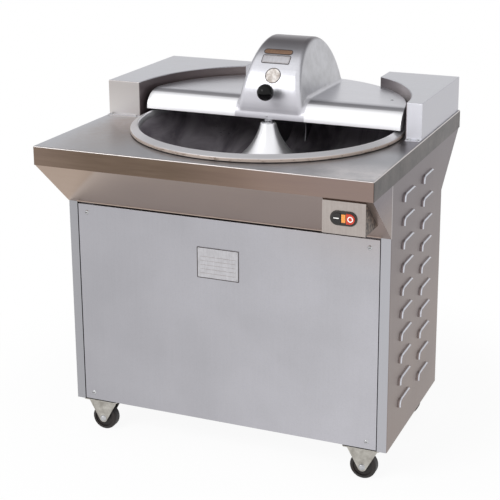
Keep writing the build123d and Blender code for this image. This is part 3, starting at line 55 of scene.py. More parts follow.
# ---------------------------------------------------------------- materials
class Tree:
    """Node tree of one material, with short calls for the nodes it uses."""

    def __init__(self, name):
        self.mat = bpy.data.materials.new(name)
        self.mat.use_nodes = True
        self.nt = self.mat.node_tree
        self.bsdf = self.nt.nodes["Principled BSDF"]
        place = self.nt.nodes.new("ShaderNodeTexCoord")
        self.coord = place.outputs["Object"]
        self.normal = place.outputs["Normal"]

    def link(self, a, b):
        self.nt.links.new(a, b)

    def mapped(self, scale, rotation=(0, 0, 0), location=(0, 0, 0)):
        node = self.nt.nodes.new("ShaderNodeMapping")
        node.inputs["Scale"].default_value = scale
        node.inputs["Rotation"].default_value = rotation
        node.inputs["Location"].default_value = location
        self.link(self.coord, node.inputs["Vector"])
        return node.outputs["Vector"]

    def noise(self, vector, scale, detail=3.0, rough=0.55, distortion=0.0):
        node = self.nt.nodes.new("ShaderNodeTexNoise")
        node.inputs["Scale"].default_value = scale
        node.inputs["Detail"].default_value = detail
        node.inputs["Roughness"].default_value = rough
        node.inputs["Distortion"].default_value = distortion
        self.link(vector, node.inputs["Vector"])
        return node.outputs["Fac"]

    def span(self, value, low, high, to_low=0.0, to_high=1.0, smooth=False):
        node = self.nt.nodes.new("ShaderNodeMapRange")
        if smooth:
            node.interpolation_type = "SMOOTHSTEP"
        self.link(value, node.inputs["Value"])
        node.inputs["From Min"].default_value = low
        node.inputs["From Max"].default_value = high
        node.inputs["To Min"].default_value = to_low
        node.inputs["To Max"].default_value = to_high
        return node.outputs["Result"]

    def math(self, op, a, b=None):
        node = self.nt.nodes.new("ShaderNodeMath")
        node.operation = op
        for socket, value in zip(node.inputs, (a, b)):
            if value is None:
                continue
            if isinstance(value, (int, float)):
                socket.default_value = value
            else:
                self.link(value, socket)
        return node.outputs["Value"]

    def times(self, a, b):
        return self.math("MULTIPLY", a, b)

    def blend(self, fac, a, b):
        node = self.nt.nodes.new("ShaderNodeMix")
        node.data_type = "RGBA"
        if isinstance(fac, (int, float)):
            node.inputs[0].default_value = fac
        else:
            self.link(fac, node.inputs[0])
        for socket, value in ((node.inputs[6], a), (node.inputs[7], b)):
            if isinstance(value, tuple):
                socket.default_value = value
            else:
                self.link(value, socket)
        return node.outputs[2]

    def axis(self, index):
        node = self.nt.nodes.new("ShaderNodeSeparateXYZ")
        self.link(self.coord, node.inputs[0])
        return node.outputs[index]

    def facing(self, index):
        node = self.nt.nodes.new("ShaderNodeSeparateXYZ")
        self.link(self.normal, node.inputs[0])
        return node.outputs[index]

    def near(self, value, middle, half, soft):
        """1 within half of middle, falling to 0 over soft."""
        gap = self.math("ABSOLUTE", self.math("SUBTRACT", value, middle))
        return self.span(gap, half + soft, half, smooth=True)

    def radius(self, x, y):
        dx = self.math("SUBTRACT", self.axis(0), x)
        dy = self.math("SUBTRACT", self.axis(1), y)
        squares = self.math("ADD", self.times(dx, dx), self.times(dy, dy))
        return self.math("SQRT", squares)

    def bump(self, height, strength, distance=0.0005):
        node = self.nt.nodes.new("ShaderNodeBump")
        node.inputs["Strength"].default_value = strength
        node.inputs["Distance"].default_value = distance
        self.link(height, node.inputs["Height"])
        self.link(node.outputs["Normal"], self.bsdf.inputs["Normal"])


def steel(name, low, high, rough=(0.28, 0.42), grain=(4, 90, 900), cloud=7.0, bump=0.10, extra=None):
    """Brushed stainless: grain gives how fast the brush lines change along x, y and z."""
    t = Tree(name)
    lines = t.noise(t.mapped(grain), 1.0, 4.0, 0.6)
    clouds = t.noise(t.coord, cloud, 5.0, 0.6, 0.3)
    fine = t.noise(t.coord, 180.0, 2.0, 0.5)
    mix = t.math("ADD", t.times(lines, 0.40), t.times(clouds, 0.42))
    mix = t.math("ADD", mix, t.times(fine, 0.18))
    fac = t.span(mix, 0.34, 0.66)
    colour = t.blend(fac, linear(low), linear(high))
    t.bsdf.inputs["Metallic"].default_value = 1.0
    if extra:
        colour = extra(t, colour)
    t.link(colour, t.bsdf.inputs["Base Color"])
    t.link(t.span(mix, 0.3, 0.7, rough[0], rough[1]), t.bsdf.inputs["Roughness"])
    t.bump(lines, bump)
    return t.mat


def plastic(name, low, high, rough=(0.3, 0.45), scale=60.0, bump=0.05, coat=0.0, shine=0.5):
    t = Tree(name)
    n = t.noise(t.coord, scale, 4.0, 0.6)
    t.link(t.blend(t.span(n, 0.35, 0.65), linear(low), linear(high)), t.bsdf.inputs["Base Color"])
    t.link(t.span(n, 0.3, 0.7, rough[0], rough[1]), t.bsdf.inputs["Roughness"])
    t.bsdf.inputs["Coat Weight"].default_value = coat
    t.bsdf.inputs["Specular IOR Level"].default_value = shine
    t.bump(t.noise(t.coord, scale * 8, 2.0), bump, 0.0003)
    return t.mat


def worktop_extra(t, colour):
    """The folded rim's warm, darker brown, which changes along x, is a painted reflection; its ends carry
    painted shade and the bend a painted highlight. The top is painted darker away from the left end, warms
    beside the left housing, and has a painted shade near the right housing and a painted sheen towards the
    front right.
    """
    nz = t.facing(2)
    x = t.axis(0)
    y = t.axis(1)
    # painted shade: the top darkens away from the left end
    painted_shade_away_from_left = t.span(x, -0.37, -0.26, smooth=True)
    colour = t.blend(t.times(painted_shade_away_from_left, 0.62), colour, linear("8b8a8e"))
    warm = t.times(t.near(x, -0.29, 0.035, 0.09), t.span(y, 0.03, -0.06, smooth=True))
    warm = t.times(warm, t.span(y, -0.36, -0.15, 0.35, 1.0))
    mottled = t.span(t.noise(t.coord, 60.0, 4.0, 0.7), 0.3, 0.7, 0.5, 0.95)
    colour = t.blend(t.times(warm, mottled), colour, linear("9c918c"))
    shade = t.times(t.near(x, 0.385, 0.03, 0.05), t.near(y, -0.05, 0.03, 0.07))
    colour = t.blend(t.times(shade, 0.75), colour, linear("5d5659"))
    sheen = t.times(t.span(x, 0.10, 0.34, smooth=True), t.span(y, -0.20, -0.32, smooth=True))
    cloudy = t.span(t.noise(t.coord, 14.0, 5.0, 0.7), 0.35, 0.65, 0.35, 1.0)
    colour = t.blend(t.times(t.times(sheen, cloudy), 0.75), colour, linear("e6e0e0"))
    mottle = t.noise(t.mapped((4.0, 30.0, 60.0)), 1.0, 4.0, 0.7)
    # painted reflection: the folded rim's warm brown, changing along x
    rim = t.blend(t.span(x, -0.38, -0.26), linear("7b6a5f"), linear("6a5a4e"))
    rim = t.blend(t.span(x, -0.06, 0.17), rim, linear("8a766c"))
    rim = t.blend(t.span(x, 0.10, 0.30), rim, linear("907e78"))
    rim = t.blend(t.span(mottle, 0.35, 0.75, 0.0, 0.22), rim, linear("a5917f"))
    # painted shade on the rim's end faces
    end = t.blend(t.span(t.noise(t.coord, 22.0, 5.0, 0.7), 0.4, 0.65), linear("2f2927"), linear("4c4442"))
    rim = t.blend(t.span(t.facing(0), 0.5, 0.9), rim, end)
    # painted highlight along the bend between top and rim
    edge = t.times(t.span(nz, 0.15, 0.4), t.span(nz, 0.97, 0.75))
    whole = t.blend(t.span(nz, 0.75, 0.97), rim, colour)
    return t.blend(edge, whole, linear("d2cdcb"))


def skirt_extra(t, colour):
    """Its brown tone is a painted reflection of a brown floor, and so is a darker, warmer corner at the left
    end, where the sheet turns; the ends are like the side panels.
    """
    limit = t.span(t.axis(2), CABINET_TOP_Z, TABLE_BEND_Z, -0.400, -0.245)
    gap = t.math("SUBTRACT", t.axis(0), limit)
    corner = t.span(gap, 0.008, -0.008, smooth=True)
    # painted reflection: brown tone over the whole sheet
    tone = t.blend(t.span(t.axis(0), -0.3, 0.4), linear("b9a89d"), linear("b6a59c"))
    colour = t.blend(0.85, colour, tone)
    # painted reflection: darker, warmer corner at the left end
    colour = t.blend(t.times(corner, 0.85), colour, linear("a8917f"))
    end = t.span(t.math("ABSOLUTE", t.facing(0)), 0.5, 0.9)
    side = t.blend(t.span(t.axis(2), 0.62, 0.70), linear("8d7f79"), linear("71686d"))
    return t.blend(end, colour, side)


def side_extra(t, colour):
    """Cooler towards the top, warmer lower down, with a painted highlight along the seam at the front, painted
    highlights on the louvre walls, painted shade at the louvres' feet and on their faces to the rear, and
    corner posts whose front faces are painted lighter.
    """
    x = t.facing(0)
    y = t.facing(1)
    z = t.facing(2)
    low = t.span(t.axis(2), 0.72, 0.28)
    warm = t.noise(t.mapped((1.0, 2.0, 2.0)), 2.5, 2.0)
    low = t.times(low, t.span(warm, 0.2, 0.6, 0.7, 1.0))
    tone = t.blend(low, linear("60595e"), linear("84766f"))
    colour = t.blend(0.84, colour, tone)
    outer = t.math("ABSOLUTE", t.axis(0))
    above = t.span(t.axis(2), 0.590, 0.593)
    # painted highlight: a bright line along the fold at the seam with the front
    seam_highlight = t.times(t.near(t.axis(1), -0.2160, 0.0013, 0.0006), above)
    colour = t.blend(t.times(seam_highlight, 0.85), colour, linear("c9c4c4"))
    # painted highlight on louvre walls facing up or to the front, painted shade at their feet and on faces
    # turned to the rear
    pressed = t.span(outer, 0.3985, 0.3992)
    slope = t.math("MAXIMUM", t.span(z, 0.12, 0.4), t.span(y, -0.12, -0.4))
    wall = t.times(t.span(outer, 0.4008, 0.4018), slope)
    wall = t.times(wall, t.span(outer, 0.4042, 0.4036))
    colour = t.blend(t.times(wall, 0.92), colour, linear("e2e5ee"))
    foot = t.times(t.times(pressed, slope), t.span(outer, 0.4006, 0.3998))
    colour = t.blend(t.times(foot, 0.6), colour, linear("6d6365"))
    shaded = t.times(pressed, t.span(y, 0.15, 0.5))
    colour = t.blend(t.times(shaded, 0.7), colour, linear("5f5659"))
    # painted light: the corner posts' front faces are lighter than the sides
    post = t.times(t.span(y, -0.5, -0.85), t.span(outer, 0.398, 0.3975))
    t.link(t.span(wall, 0.0, 1.0, 1.0, 0.35), t.bsdf.inputs["Metallic"])
    light = t.blend(t.span(t.axis(0), -0.2, 0.2), linear("a6a6aa"), linear("b6b6bb"))
    return t.blend(post, colour, light)


def panel_extra(t, colour):
    """Clouded, speckled sheet with painted light that lightens it to the right; it warms beside the switch
    box.
    """
    cloud = t.span(t.noise(t.mapped((1.0, 1.0, 1.0)), 5.0, 3.0), 0.35, 0.65)
    left = t.blend(cloud, linear("a7a6ab"), linear("aeadb2"))
    right = t.blend(cloud, linear("b9b8bd"), linear("c3c2c8"))
    corner = t.times(t.span(t.axis(0), 0.10, 0.34), t.span(t.axis(2), 0.50, 0.60))
    # painted light: lighter to the right
    tone = t.blend(t.span(t.axis(0), -0.35, 0.30), left, right)
    tone = t.blend(t.times(corner, 0.6), tone, linear("b9aea8"))
    speckle = t.span(t.noise(t.coord, 420.0, 2.0), 0.45, 0.75, 0.0, 0.16)
    tone = t.blend(speckle, tone, linear("8f8e93"))
    return t.blend(0.75, colour, tone)


def housing_extra(t, colour):
    """Front faces with painted light: lighter and cooler on the left housing, warmer on the right one and
    darker towards its top. Painted shade on the side faces and on the inner wall, which faces the lid.
    """
    up = t.facing(2)
    front = t.span(t.facing(1), -0.5, -0.9)
    left = t.span(t.axis(0), 0.0, -0.05)
    grade = t.span(t.axis(2), 0.83, 0.77)
    # painted light: front faces lighter and cooler on the left housing, warmer and darker towards the top on
    # the right one
    face = t.blend(left, linear("e3e3ea"), t.blend(grade, linear("bdb7b4"), linear("cfcac7")))
    colour = t.blend(t.times(front, 0.9), colour, face)
    # painted shade on the side faces
    end = t.span(t.facing(0), 0.5, 0.9)
    colour = t.blend(t.times(end, 0.7), colour, linear("a9a8af"))
    # painted shade on the inner wall, which faces the lid
    ring = t.span(t.radius(BOWL_X, 0.0), HOUSING_ARC, HOUSING_ARC - 0.001)
    wall = t.times(ring, t.span(up, 0.5, 0.2))
    along = t.span(t.axis(1), 0.06, 0.28)
    dark = t.blend(t.times(along, left), linear("554b4d"), linear("756b6a"))
    right = t.blend(t.span(t.axis(1), 0.20, 0.27), linear("a39b9d"), linear("645d60"))
    dark = t.blend(left, right, dark)
    diffuse = t.math("MAXIMUM", wall, t.times(front, t.math("SUBTRACT", 1.0, left)))
    t.link(t.span(diffuse, 0.0, 1.0, 1.0, 0.4), t.bsdf.inputs["Metallic"])
    return t.blend(wall, colour, dark)


def lid_extra(t, colour):
    """Painted reflections: a dark crown on the hood, a dark band along the wings' bend and near-white rolled
    fronts on the wings. Painted shade on the clouded flat sides and on the underside. The hood's chin and the
    wings' rolled fronts are less metallic.
    """
    x = t.axis(0)
    y = t.axis(1)
    z = t.axis(2)
    side = t.span(t.math("ABSOLUTE", t.facing(0)), 0.6, 0.9)
    clouds = t.span(t.noise(t.coord, 30.0, 4.0, 0.65), 0.35, 0.65)
    mottle = t.blend(clouds, linear("aeaeb1"), linear("bdbdc1"))
    inside = t.span(t.facing(2), -0.2, -0.6)
    # painted reflection: dark crown on the hood
    crown = t.span(z, 0.914, 0.946)
    colour = t.blend(t.times(crown, 0.85), colour, linear("6c666a"))
    on_hood = t.near(t.math("SUBTRACT", x, BOWL_X), 0.0, 0.086, 0.004)
    forward = t.span(y, 0.05, 0.03)
    chin = t.times(t.times(on_hood, t.span(z, 0.850, 0.832)), forward)
    colour = t.blend(chin, colour, linear("cac9cf"))
    wings = t.math("SUBTRACT", 1.0, on_hood)
    # painted reflection: near-white rolled fronts on the wings
    roll = t.times(t.times(wings, t.span(z, 0.820, 0.811)), forward)
    colour = t.blend(roll, colour, linear("fbfbfd"))
    # painted reflection: dark band along the wings' bend
    bend = t.times(t.near(z, 0.8180, 0.0018, 0.0014), t.span(y, 0.066, 0.050))
    colour = t.blend(t.times(t.times(wings, bend), 0.6), colour, linear("88848a"))
    # painted shade on the flat sides
    colour = t.blend(side, colour, mottle)
    plain = t.math("MAXIMUM", t.times(chin, 0.75), t.times(roll, 0.9))
    t.link(t.span(plain, 0.0, 1.0, 1.0, 0.30), t.bsdf.inputs["Metallic"])
    # painted shade on the underside
    return t.blend(inside, colour, linear("6e6a6c"))


def bowl_extra(t, colour):
    """Spun trough with streaks, smooth light rim, duller outer band and a bright cone, alike all round."""
    r = t.radius(BOWL_X, 0.0)
    up = t.facing(2)
    streak = t.noise(t.mapped((14.0, 5.0, 9.0), (0.0, 0.0, 0.6)), 1.0, 5.0, 0.65, 0.8)
    dark = t.blend(t.span(streak, 0.38, 0.62), linear("78727a"), linear("aca6ad"))
    trough = t.times(t.span(r, 0.3035, 0.3015), t.span(r, 0.055, 0.10))
    cone = t.span(r, 0.105, 0.085)
    colour = t.blend(cone, colour, linear("efeff1"))
    colour = t.blend(trough, colour, dark)
    lip = t.span(r, 0.3025, 0.3045)
    colour = t.blend(lip, colour, linear("cfced1"))
    band = t.times(t.span(r, 0.3225, 0.3245), t.span(up, 0.75, 0.4))
    patch = t.noise(t.mapped((40.0, 40.0, 200.0)), 1.0, 3.0, 0.7)
    tan = t.blend(t.span(patch, 0.58, 0.64), linear("b3a59b"), linear("6f5d50"))
    plain = t.math("MAXIMUM", t.times(trough, 0.8), t.times(cone, 0.22))
    plain = t.math("MAXIMUM", plain, t.math("MAXIMUM", t.times(lip, 0.5), band))
    t.link(t.span(plain, 0.0, 1.0, 1.0, 0.35), t.bsdf.inputs["Metallic"])
    return t.blend(band, colour, tan)


def box_extra(t, colour):
    """Side walls with painted shade, broken by dark and light spots."""
    side = t.span(t.math("ABSOLUTE", t.facing(0)), 0.5, 0.9)
    spots = t.span(t.noise(t.coord, 130.0, 4.0, 0.7), 0.45, 0.6)
    return t.blend(side, colour, t.blend(spots, linear("2e2826"), linear("7a6c62")))


def rubber(name, low, high):
    t = Tree(name)
    n = t.noise(t.coord, 40.0, 4.0)
    t.link(t.blend(t.span(n, 0.35, 0.7), linear(low), linear(high)), t.bsdf.inputs["Base Color"])
    t.link(t.span(n, 0.3, 0.7, 0.45, 0.75), t.bsdf.inputs["Roughness"])
    t.bump(t.noise(t.coord, 500.0, 2.0), 0.15, 0.0004)
    return t.mat


materials = {
    "worktop_steel": steel("worktop_steel", "b4b5ba", "c8cad0", (0.28, 0.40),
                        (5, 420, 5), 6.0, 0.04, worktop_extra),
    # the skirt's brown colours are a painted reflection of a brown floor
    "skirt_steel": steel("skirt_steel", "867870", "a3948c", (0.30, 0.42),
                        (4, 300, 300), 5.0, 0.04, skirt_extra),
    "panel_steel": steel("panel_steel", "adacb1", "c4c3c9", (0.36, 0.46),
                        (300, 60, 6), 4.0, 0.03, panel_extra),
    "side_steel": steel("side_steel", "8b8083", "a89c98", (0.32, 0.42), (60, 500, 4), 4.0, 0.04, side_extra),
    "housing_steel": steel("housing_steel", "c2c2c7", "d6d7dc", (0.28, 0.40),
                        (5, 300, 300), 7.0, 0.05, housing_extra),
    "lid_steel": steel("lid_steel", "cbcbd0", "dedee3", (0.29, 0.35), (5, 260, 260), 9.0, 0.02, lid_extra),
    "bowl_steel": steel("bowl_steel", "b4b4b7", "d6d6da", (0.26, 0.36),
                        (60, 60, 500), 10.0, 0.03, bowl_extra),
    "switch_box_steel": steel("switch_box_steel", "aaa09b", "bdb5b0", (0.36, 0.46),
                        (300, 40, 5), 12.0, 0.04, box_extra),
    "hinge_steel": steel("hinge_steel", "9f9fa3", "bfc0c4", (0.28, 0.42), (5, 400, 400), 20.0, 0.08),
    "fastener_steel": steel("fastener_steel", "a3a3a5", "cfd0d2", (0.20, 0.34), (200, 200, 200), 60.0, 0.05),
    "shaft_steel": steel("shaft_steel", "97979b", "bcbdc0", (0.22, 0.34), (700, 30, 30), 30.0, 0.08),
    "knife_steel": steel("knife_steel", "77777a", "9a9a9e", (0.34, 0.46), (60, 200, 200), 30.0, 0.05),
    "cast_housing": steel("cast_housing", "6e6f73", "8d8e92", (0.40, 0.58), (90, 90, 90), 40.0, 0.25),
    "pulley_iron": steel("pulley_iron", "55575a", "7a7c80", (0.34, 0.52), (400, 40, 40), 40.0, 0.15),
    "caster_zinc": steel("caster_zinc", "98948d", "c4c1ba", (0.28, 0.44), (60, 60, 60), 60.0, 0.10),
    "belt_rubber": rubber("belt_rubber", "161515", "262423"),
    "wheel_rubber": rubber("wheel_rubber", "120e0d", "2b2421"),
    "motor_paint": plastic("motor_paint", "25405c", "2f5070", (0.32, 0.48), 25.0, 0.08),
    "gearbox_paint": plastic("gearbox_paint", "4a4f54", "5a6066", (0.36, 0.52), 30.0, 0.12),
    "rail_steel": plastic("rail_steel", "2f3134", "404347", (0.4, 0.6), 30.0, 0.1),
    "fan_plastic": plastic("fan_plastic", "141414", "1f1f1f"),
    "contactor_plastic": plastic("contactor_plastic", "b9b9b2", "c8c8c1"),
    "gland_plastic": plastic("gland_plastic", "151515", "222222"),
    "knob_plastic": plastic("knob_plastic", "040404", "090909", (0.10, 0.14), 40.0, 0.01, 0.0, 0.22),
    "bezel_plastic": plastic("bezel_plastic", "1d1a19", "2b2725", (0.3, 0.45), 60.0, 0.04),
    "start_plastic": plastic("start_plastic", "191717", "262322", (0.22, 0.34), 60.0, 0.03),
    "stop_plastic": plastic("stop_plastic", "b5321f", "c64429", (0.22, 0.34), 60.0, 0.03),
    "lamp_lens": plastic("lamp_lens", "d98434", "ea9b42", (0.18, 0.30), 60.0, 0.03, 0.4),
}

for name, node in nodes.items():
    slot = node.data.materials[0].name.split(".")[0]
    node.data.materials.clear()
    node.data.materials.append(materials[slot])


# ---------------------------------------------------------------- pieces
def closed(name, loops, body, slot, mat):
    """One closed, ring-shaped solid: each loop of points joins the next, and the last joins the first."""
    bm = bmesh.new()
    rings = [[bm.verts.new(p) for p in ring] for ring in loops]
    n = len(rings[0])
    for a, b in zip(rings, rings[1:] + rings[:1]):
        for k in range(n):
            bm.faces.new((a[k], a[(k + 1) % n], b[(k + 1) % n], b[k]))
    bmesh.ops.recalc_face_normals(bm, faces=bm.faces)
    return finish(name, bm, body, slot, mat)


def finish(name, bm, body, slot, mat):
    """The piece of that name, riding on its body."""
    data = bpy.data.meshes.new(name)
    bm.to_mesh(data)
    bm.free()
    for face in data.polygons:
        face.use_smooth = False
    piece = bpy.data.objects.new(name, data)
    bpy.context.scene.collection.objects.link(piece)
    data.materials.append(mat)
    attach(piece, body)
    return piece


def rounded(half_w, half_h, corner, steps=6):
    """Outline of a rounded rectangle, anticlockwise, as (u, v)."""
    points = []
    for cx, cy, start in ((1, 1, 0), (-1, 1, 90), (-1, -1, 180), (1, -1, 270)):
        for k in range(steps + 1):
            a = math.radians(start + 90 * k / steps)
            points.append((cx * (half_w - corner) + corner * math.cos(a),
                           cy * (half_h - corner) + corner * math.sin(a)))
    return points


def frame_strip(name, place, outer, inner, low, high, body, slot, mat):
    """Raised border between two outlines."""
    loops = [[place(u, v, low) for u, v in outer], [place(u, v, high) for u, v in outer],
             [place(u, v, high) for u, v in inner], [place(u, v, low) for u, v in inner]]
    return closed(name, loops, body, slot, mat)


def plate(name, place, half_w, half_h, corner, low, high, body, slot, mat, rows=14, columns=8):
    """Thin plate with rounded corners that follows the surface that place() describes."""
    bm = bmesh.new()
    layers = []
    marks = [-half_h * math.cos(math.pi * k / rows) for k in range(rows + 1)]
    for height in (low, high):
        grid = []
        for v in marks:
            over = max(0.0, abs(v) - (half_h - corner))
            reach = half_w - corner + math.sqrt(max(0.0, corner ** 2 - over ** 2))
            reach = max(reach, 0.00005)
            across = [reach * (2 * c / columns - 1) for c in range(columns + 1)]
            grid.append([bm.verts.new(place(u, v, height)) for u in across])
        layers.append(grid)
    bottom, top = layers
    for grid in layers:
        for a, b in zip(grid, grid[1:]):
            for c in range(columns):
                bm.faces.new((a[c], a[c + 1], b[c + 1], b[c]))
    edge = [(r, 0) for r in range(rows + 1)] + [(rows, c) for c in range(1, columns + 1)]
    edge += [(r, columns) for r in range(rows - 1, -1, -1)] + [(0, c) for c in range(columns - 1, 0, -1)]
    for (r0, c0), (r1, c1) in zip(edge, edge[1:] + edge[:1]):
        bm.faces.new((bottom[r0][c0], bottom[r1][c1], top[r1][c1], top[r0][c0]))
    bmesh.ops.recalc_face_normals(bm, faces=bm.faces)
    return finish(name, bm, body, slot, mat)


def head(name, place, radius, height, body, slot, mat, cross=True):
    """Domed head of a screw with a cross recess, or of a rivet."""
    bm = bmesh.new()
    n = 24

    def spot(reach, i, lift):
        turn = 2 * math.pi * i / n
        return bm.verts.new(place(reach * math.cos(turn), reach * math.sin(turn), lift))

    rings = []
    for k in range(6):
        a = math.pi / 2 * k / 6
        rings.append([spot(radius * math.cos(a), i, height * math.sin(a)) for i in range(n)])
    for a, b in zip(rings, rings[1:]):
        for i in range(n):
            bm.faces.new((a[i], a[(i + 1) % n], b[(i + 1) % n], b[i]))
    last = rings[-1]
    if cross:
        pit = [spot(radius * (0.10 if i % 6 else 0.24), i, height * 0.55) for i in range(n)]
        for i in range(n):
            bm.faces.new((last[i], last[(i + 1) % n], pit[(i + 1) % n], pit[i]))
        bm.faces.new(pit)
    else:
        bm.faces.new(last)
    bm.faces.new(rings[0])
    bmesh.ops.recalc_face_normals(bm, faces=bm.faces)
    return finish(name, bm, body, slot, mat)


def on_hood(u0, angle):
    """Maps (u, v, height) onto the hood's front, round a middle at this angle in degrees."""
    def place(u, v, height):
        a = math.radians(angle) + v / HOOD_R
        r = HOOD_R + height
        return (u0 + u, HOOD_Y - r * math.cos(a), HOOD_Z + r * math.sin(a))
    return place


def on_front(u0, v0, y0):
    """Maps (u, v, height) onto an upright face that looks to the front."""
    def place(u, v, height):
        return (u0 + u, y0 - height, v0 + v)
    return place


def on_top(u0, v0, z0):
    """Maps (u, v, height) onto a level face."""
    def place(u, v, height):
        return (u0 + u, v0 + v, z0 + height)
    return place


copper = steel("plate_copper", "8d6f5c", "a98c76", (0.34, 0.46), (400, 30, 30), 60.0, 0.03)
foil = steel("plate_foil", "b7b5b8", "cfced2", (0.34, 0.44), (300, 40, 40), 60.0, 0.02)
badge = plastic("plate_badge", "a39890", "dfdad6", (0.45, 0.55), 110.0, 0.02)
line = plastic("plate_line", "2e2827", "3e3736", (0.5, 0.6), 120.0, 0.02)
soft_line = plastic("plate_soft_line", "8a7f7b", "9b918d", (0.5, 0.6), 120.0, 0.02)
white_mark = plastic("mark_white", "e9e9e6", "f4f4f1", (0.35, 0.45), 120.0, 0.01)
painted_slot_shade = plastic("painted_recess_shade", "2c2725", "3a3432", (0.6, 0.7), 120.0, 0.02)
metal = materials["fastener_steel"]

# long plate, square plate and round badge on the hood, all without words or signs
on_lid = ("lid_assembly", "fastener_steel")
upper = on_hood(0.0215, 56.1)
plate("hood_long_plate", upper, 0.0365, 0.0083, 0.0080, -SKIN, 0.0005, *on_lid, copper)
frame_strip("hood_long_plate_border", upper, rounded(0.0368, 0.0086, 0.0083),
            rounded(0.0350, 0.0068, 0.0066), 0.0004, 0.0008, *on_lid, line)
lower = on_hood(0.0225, 47.0)
plate("hood_square_plate", lower, 0.0355, 0.0122, 0.0035, -SKIN, 0.0005, *on_lid, foil)
frame_strip("hood_square_plate_border", lower, rounded(0.0358, 0.0125, 0.0038),
            rounded(0.0342, 0.0109, 0.0026), 0.0004, 0.0008, *on_lid, line)
frame_strip("hood_square_plate_inner_line", lower, rounded(0.0325, 0.0094, 0.0024),
            rounded(0.0319, 0.0088, 0.0020), 0.0004, 0.0007, *on_lid, soft_line)
middle = on_hood(0.025, 30.5)
plate("hood_round_badge", middle, 0.0195, 0.0195, 0.0195, -SKIN, 0.0004, *on_lid, badge, 24, 10)
frame_strip("hood_round_badge_ring", middle, rounded(0.0196, 0.0196, 0.0196, 10),
            rounded(0.0178, 0.0178, 0.0178, 10), 0.0003, 0.0007, *on_lid, line)
head("hood_screw", on_front(0.018, 0.7825, 0.0062), 0.0045, 0.0024, *on_lid, metal)
head("lid_rivet", on_top(0.293, 0.113, 0.8218), 0.0042, 0.0018, *on_lid, metal, False)

# bare rating plate on the front panel
on_cabinet = ("cabinet", "fastener_steel")
PLATE_X, PLATE_Z = -0.0122, 0.4812
centre = on_front(PLATE_X, PLATE_Z, PANEL_Y)
plate("panel_plate", centre, 0.0522, 0.0372, 0.0015, -SKIN, 0.0008, *on_cabinet, foil)
frame_strip("panel_plate_border", centre, rounded(0.0522, 0.0372, 0.0015),
            rounded(0.0505, 0.0355, 0.0010), 0.0006, 0.0012, *on_cabinet, line)
for k, v in enumerate((0.0150, 0.0050, -0.0050, -0.0150, -0.0250)):
    bar = rounded(0.0440, 0.0004, 0.0003, 2)
    frame_strip("panel_plate_rule_%d" % k, on_front(PLATE_X, PLATE_Z + v, PANEL_Y), bar,
                [(a * 0.99, b * 0.5) for a, b in bar], 0.0005, 0.0010, *on_cabinet, soft_line)
for k, (a, b) in enumerate(((-0.047, 0.032), (0.047, 0.032), (-0.047, -0.032), (0.047, -0.032))):
    head("panel_plate_rivet_%d" % k, on_front(PLATE_X + a, PLATE_Z + b, PANEL_Y - 0.0006),
         0.0018, 0.0009, *on_cabinet, metal, False)

# bar and ring on the two buttons
plate("start_bar", on_front(0.3197, BUTTON_Z, BUTTON_Y), 0.0058, 0.0011, 0.0003, -0.0004, 0.00015,
      "start_cap", "start_plastic", white_mark)
frame_strip("stop_ring", on_front(0.3503, BUTTON_Z, BUTTON_Y), rounded(0.0062, 0.0062, 0.0062, 8),
            rounded(0.0040, 0.0040, 0.0040, 8), -0.0004, 0.00015, "stop_cap", "stop_plastic", white_mark)

# straight slots of the front panel's screws, drawn as dark marks: painted shade in the slots
for k, (a, b) in enumerate(((-0.350, 0.105), (0.350, 0.105), (-0.350, 0.567), (0.350, 0.567))):
    plate("panel_screw_slot_%d" % k, on_front(a, b, PANEL_Y - 0.003), 0.0028, 0.0006, 0.0003,
          -0.0006, 0.0002, *on_cabinet, painted_slot_shade, 4, 4)

# ---------------------------------------------------------------- stage
def maker(tree):
    """Clears a node tree and returns the function that adds a node with its settings and inputs.

    An input is a number, a colour or another node's output; settings are the node's own options.
    """
    tree.nodes.clear()

    def add(kind, inputs=None, **settings):
        node = tree.nodes.new(kind)
        for option, value in settings.items():
            setattr(node, option, value)
        for socket, value in (inputs or {}).items():
            if isinstance(value, bpy.types.NodeSocket):
                tree.links.new(value, node.inputs[socket])
            else:
                node.inputs[socket].default_value = value
        return node

    return add


# floor: near the object it shows its shadow, and further out it fades to plain white
floor_mat = bpy.data.materials.new("floor_pale")
floor_mat.use_nodes = True
add = maker(floor_mat.node_tree)
diffuse = add("ShaderNodeBsdfDiffuse", {"Color": (0.86, 0.86, 0.86, 1)})
white = add("ShaderNodeEmission", {"Color": (1, 1, 1, 1), "Strength": 1.0})
coord = add("ShaderNodeTexCoord")
length = add("ShaderNodeVectorMath", {0: coord.outputs["Object"]}, operation="LENGTH")
fade = add("ShaderNodeMapRange", {"From Min": 0.55, "From Max": 1.05, "To Min": 0.92,
                                  "Value": length.outputs["Value"]}, interpolation_type="SMOOTHSTEP")
path = add("ShaderNodeLightPath")
seen = add("ShaderNodeMath", {0: path.outputs["Is Camera Ray"], 1: path.outputs["Is Glossy Ray"]},
           operation="MAXIMUM")
seen = add("ShaderNodeMath", {0: seen.outputs[0], 1: path.outputs["Is Transmission Ray"]}, operation="MAXIMUM")
both = add("ShaderNodeMath", {0: fade.outputs["Result"], 1: seen.outputs[0]}, operation="MULTIPLY")
mixer = add("ShaderNodeMixShader", {0: both.outputs[0], 1: diffuse.outputs[0], 2: white.outputs[0]})
add("ShaderNodeOutputMaterial", {"Surface": mixer.outputs[0]})

FLOOR_HALF = 30.0
mesh = bpy.data.meshes.new("studio_floor")
mesh.from_pydata([(-FLOOR_HALF, -FLOOR_HALF, 0), (FLOOR_HALF, -FLOOR_HALF, 0),
                  (FLOOR_HALF, FLOOR_HALF, 0), (-FLOOR_HALF, FLOOR_HALF, 0)], [], [(0, 1, 2, 3)])
floor = bpy.data.objects.new("studio_floor", mesh)
bpy.context.scene.collection.objects.link(floor)
floor.data.materials.append(floor_mat)

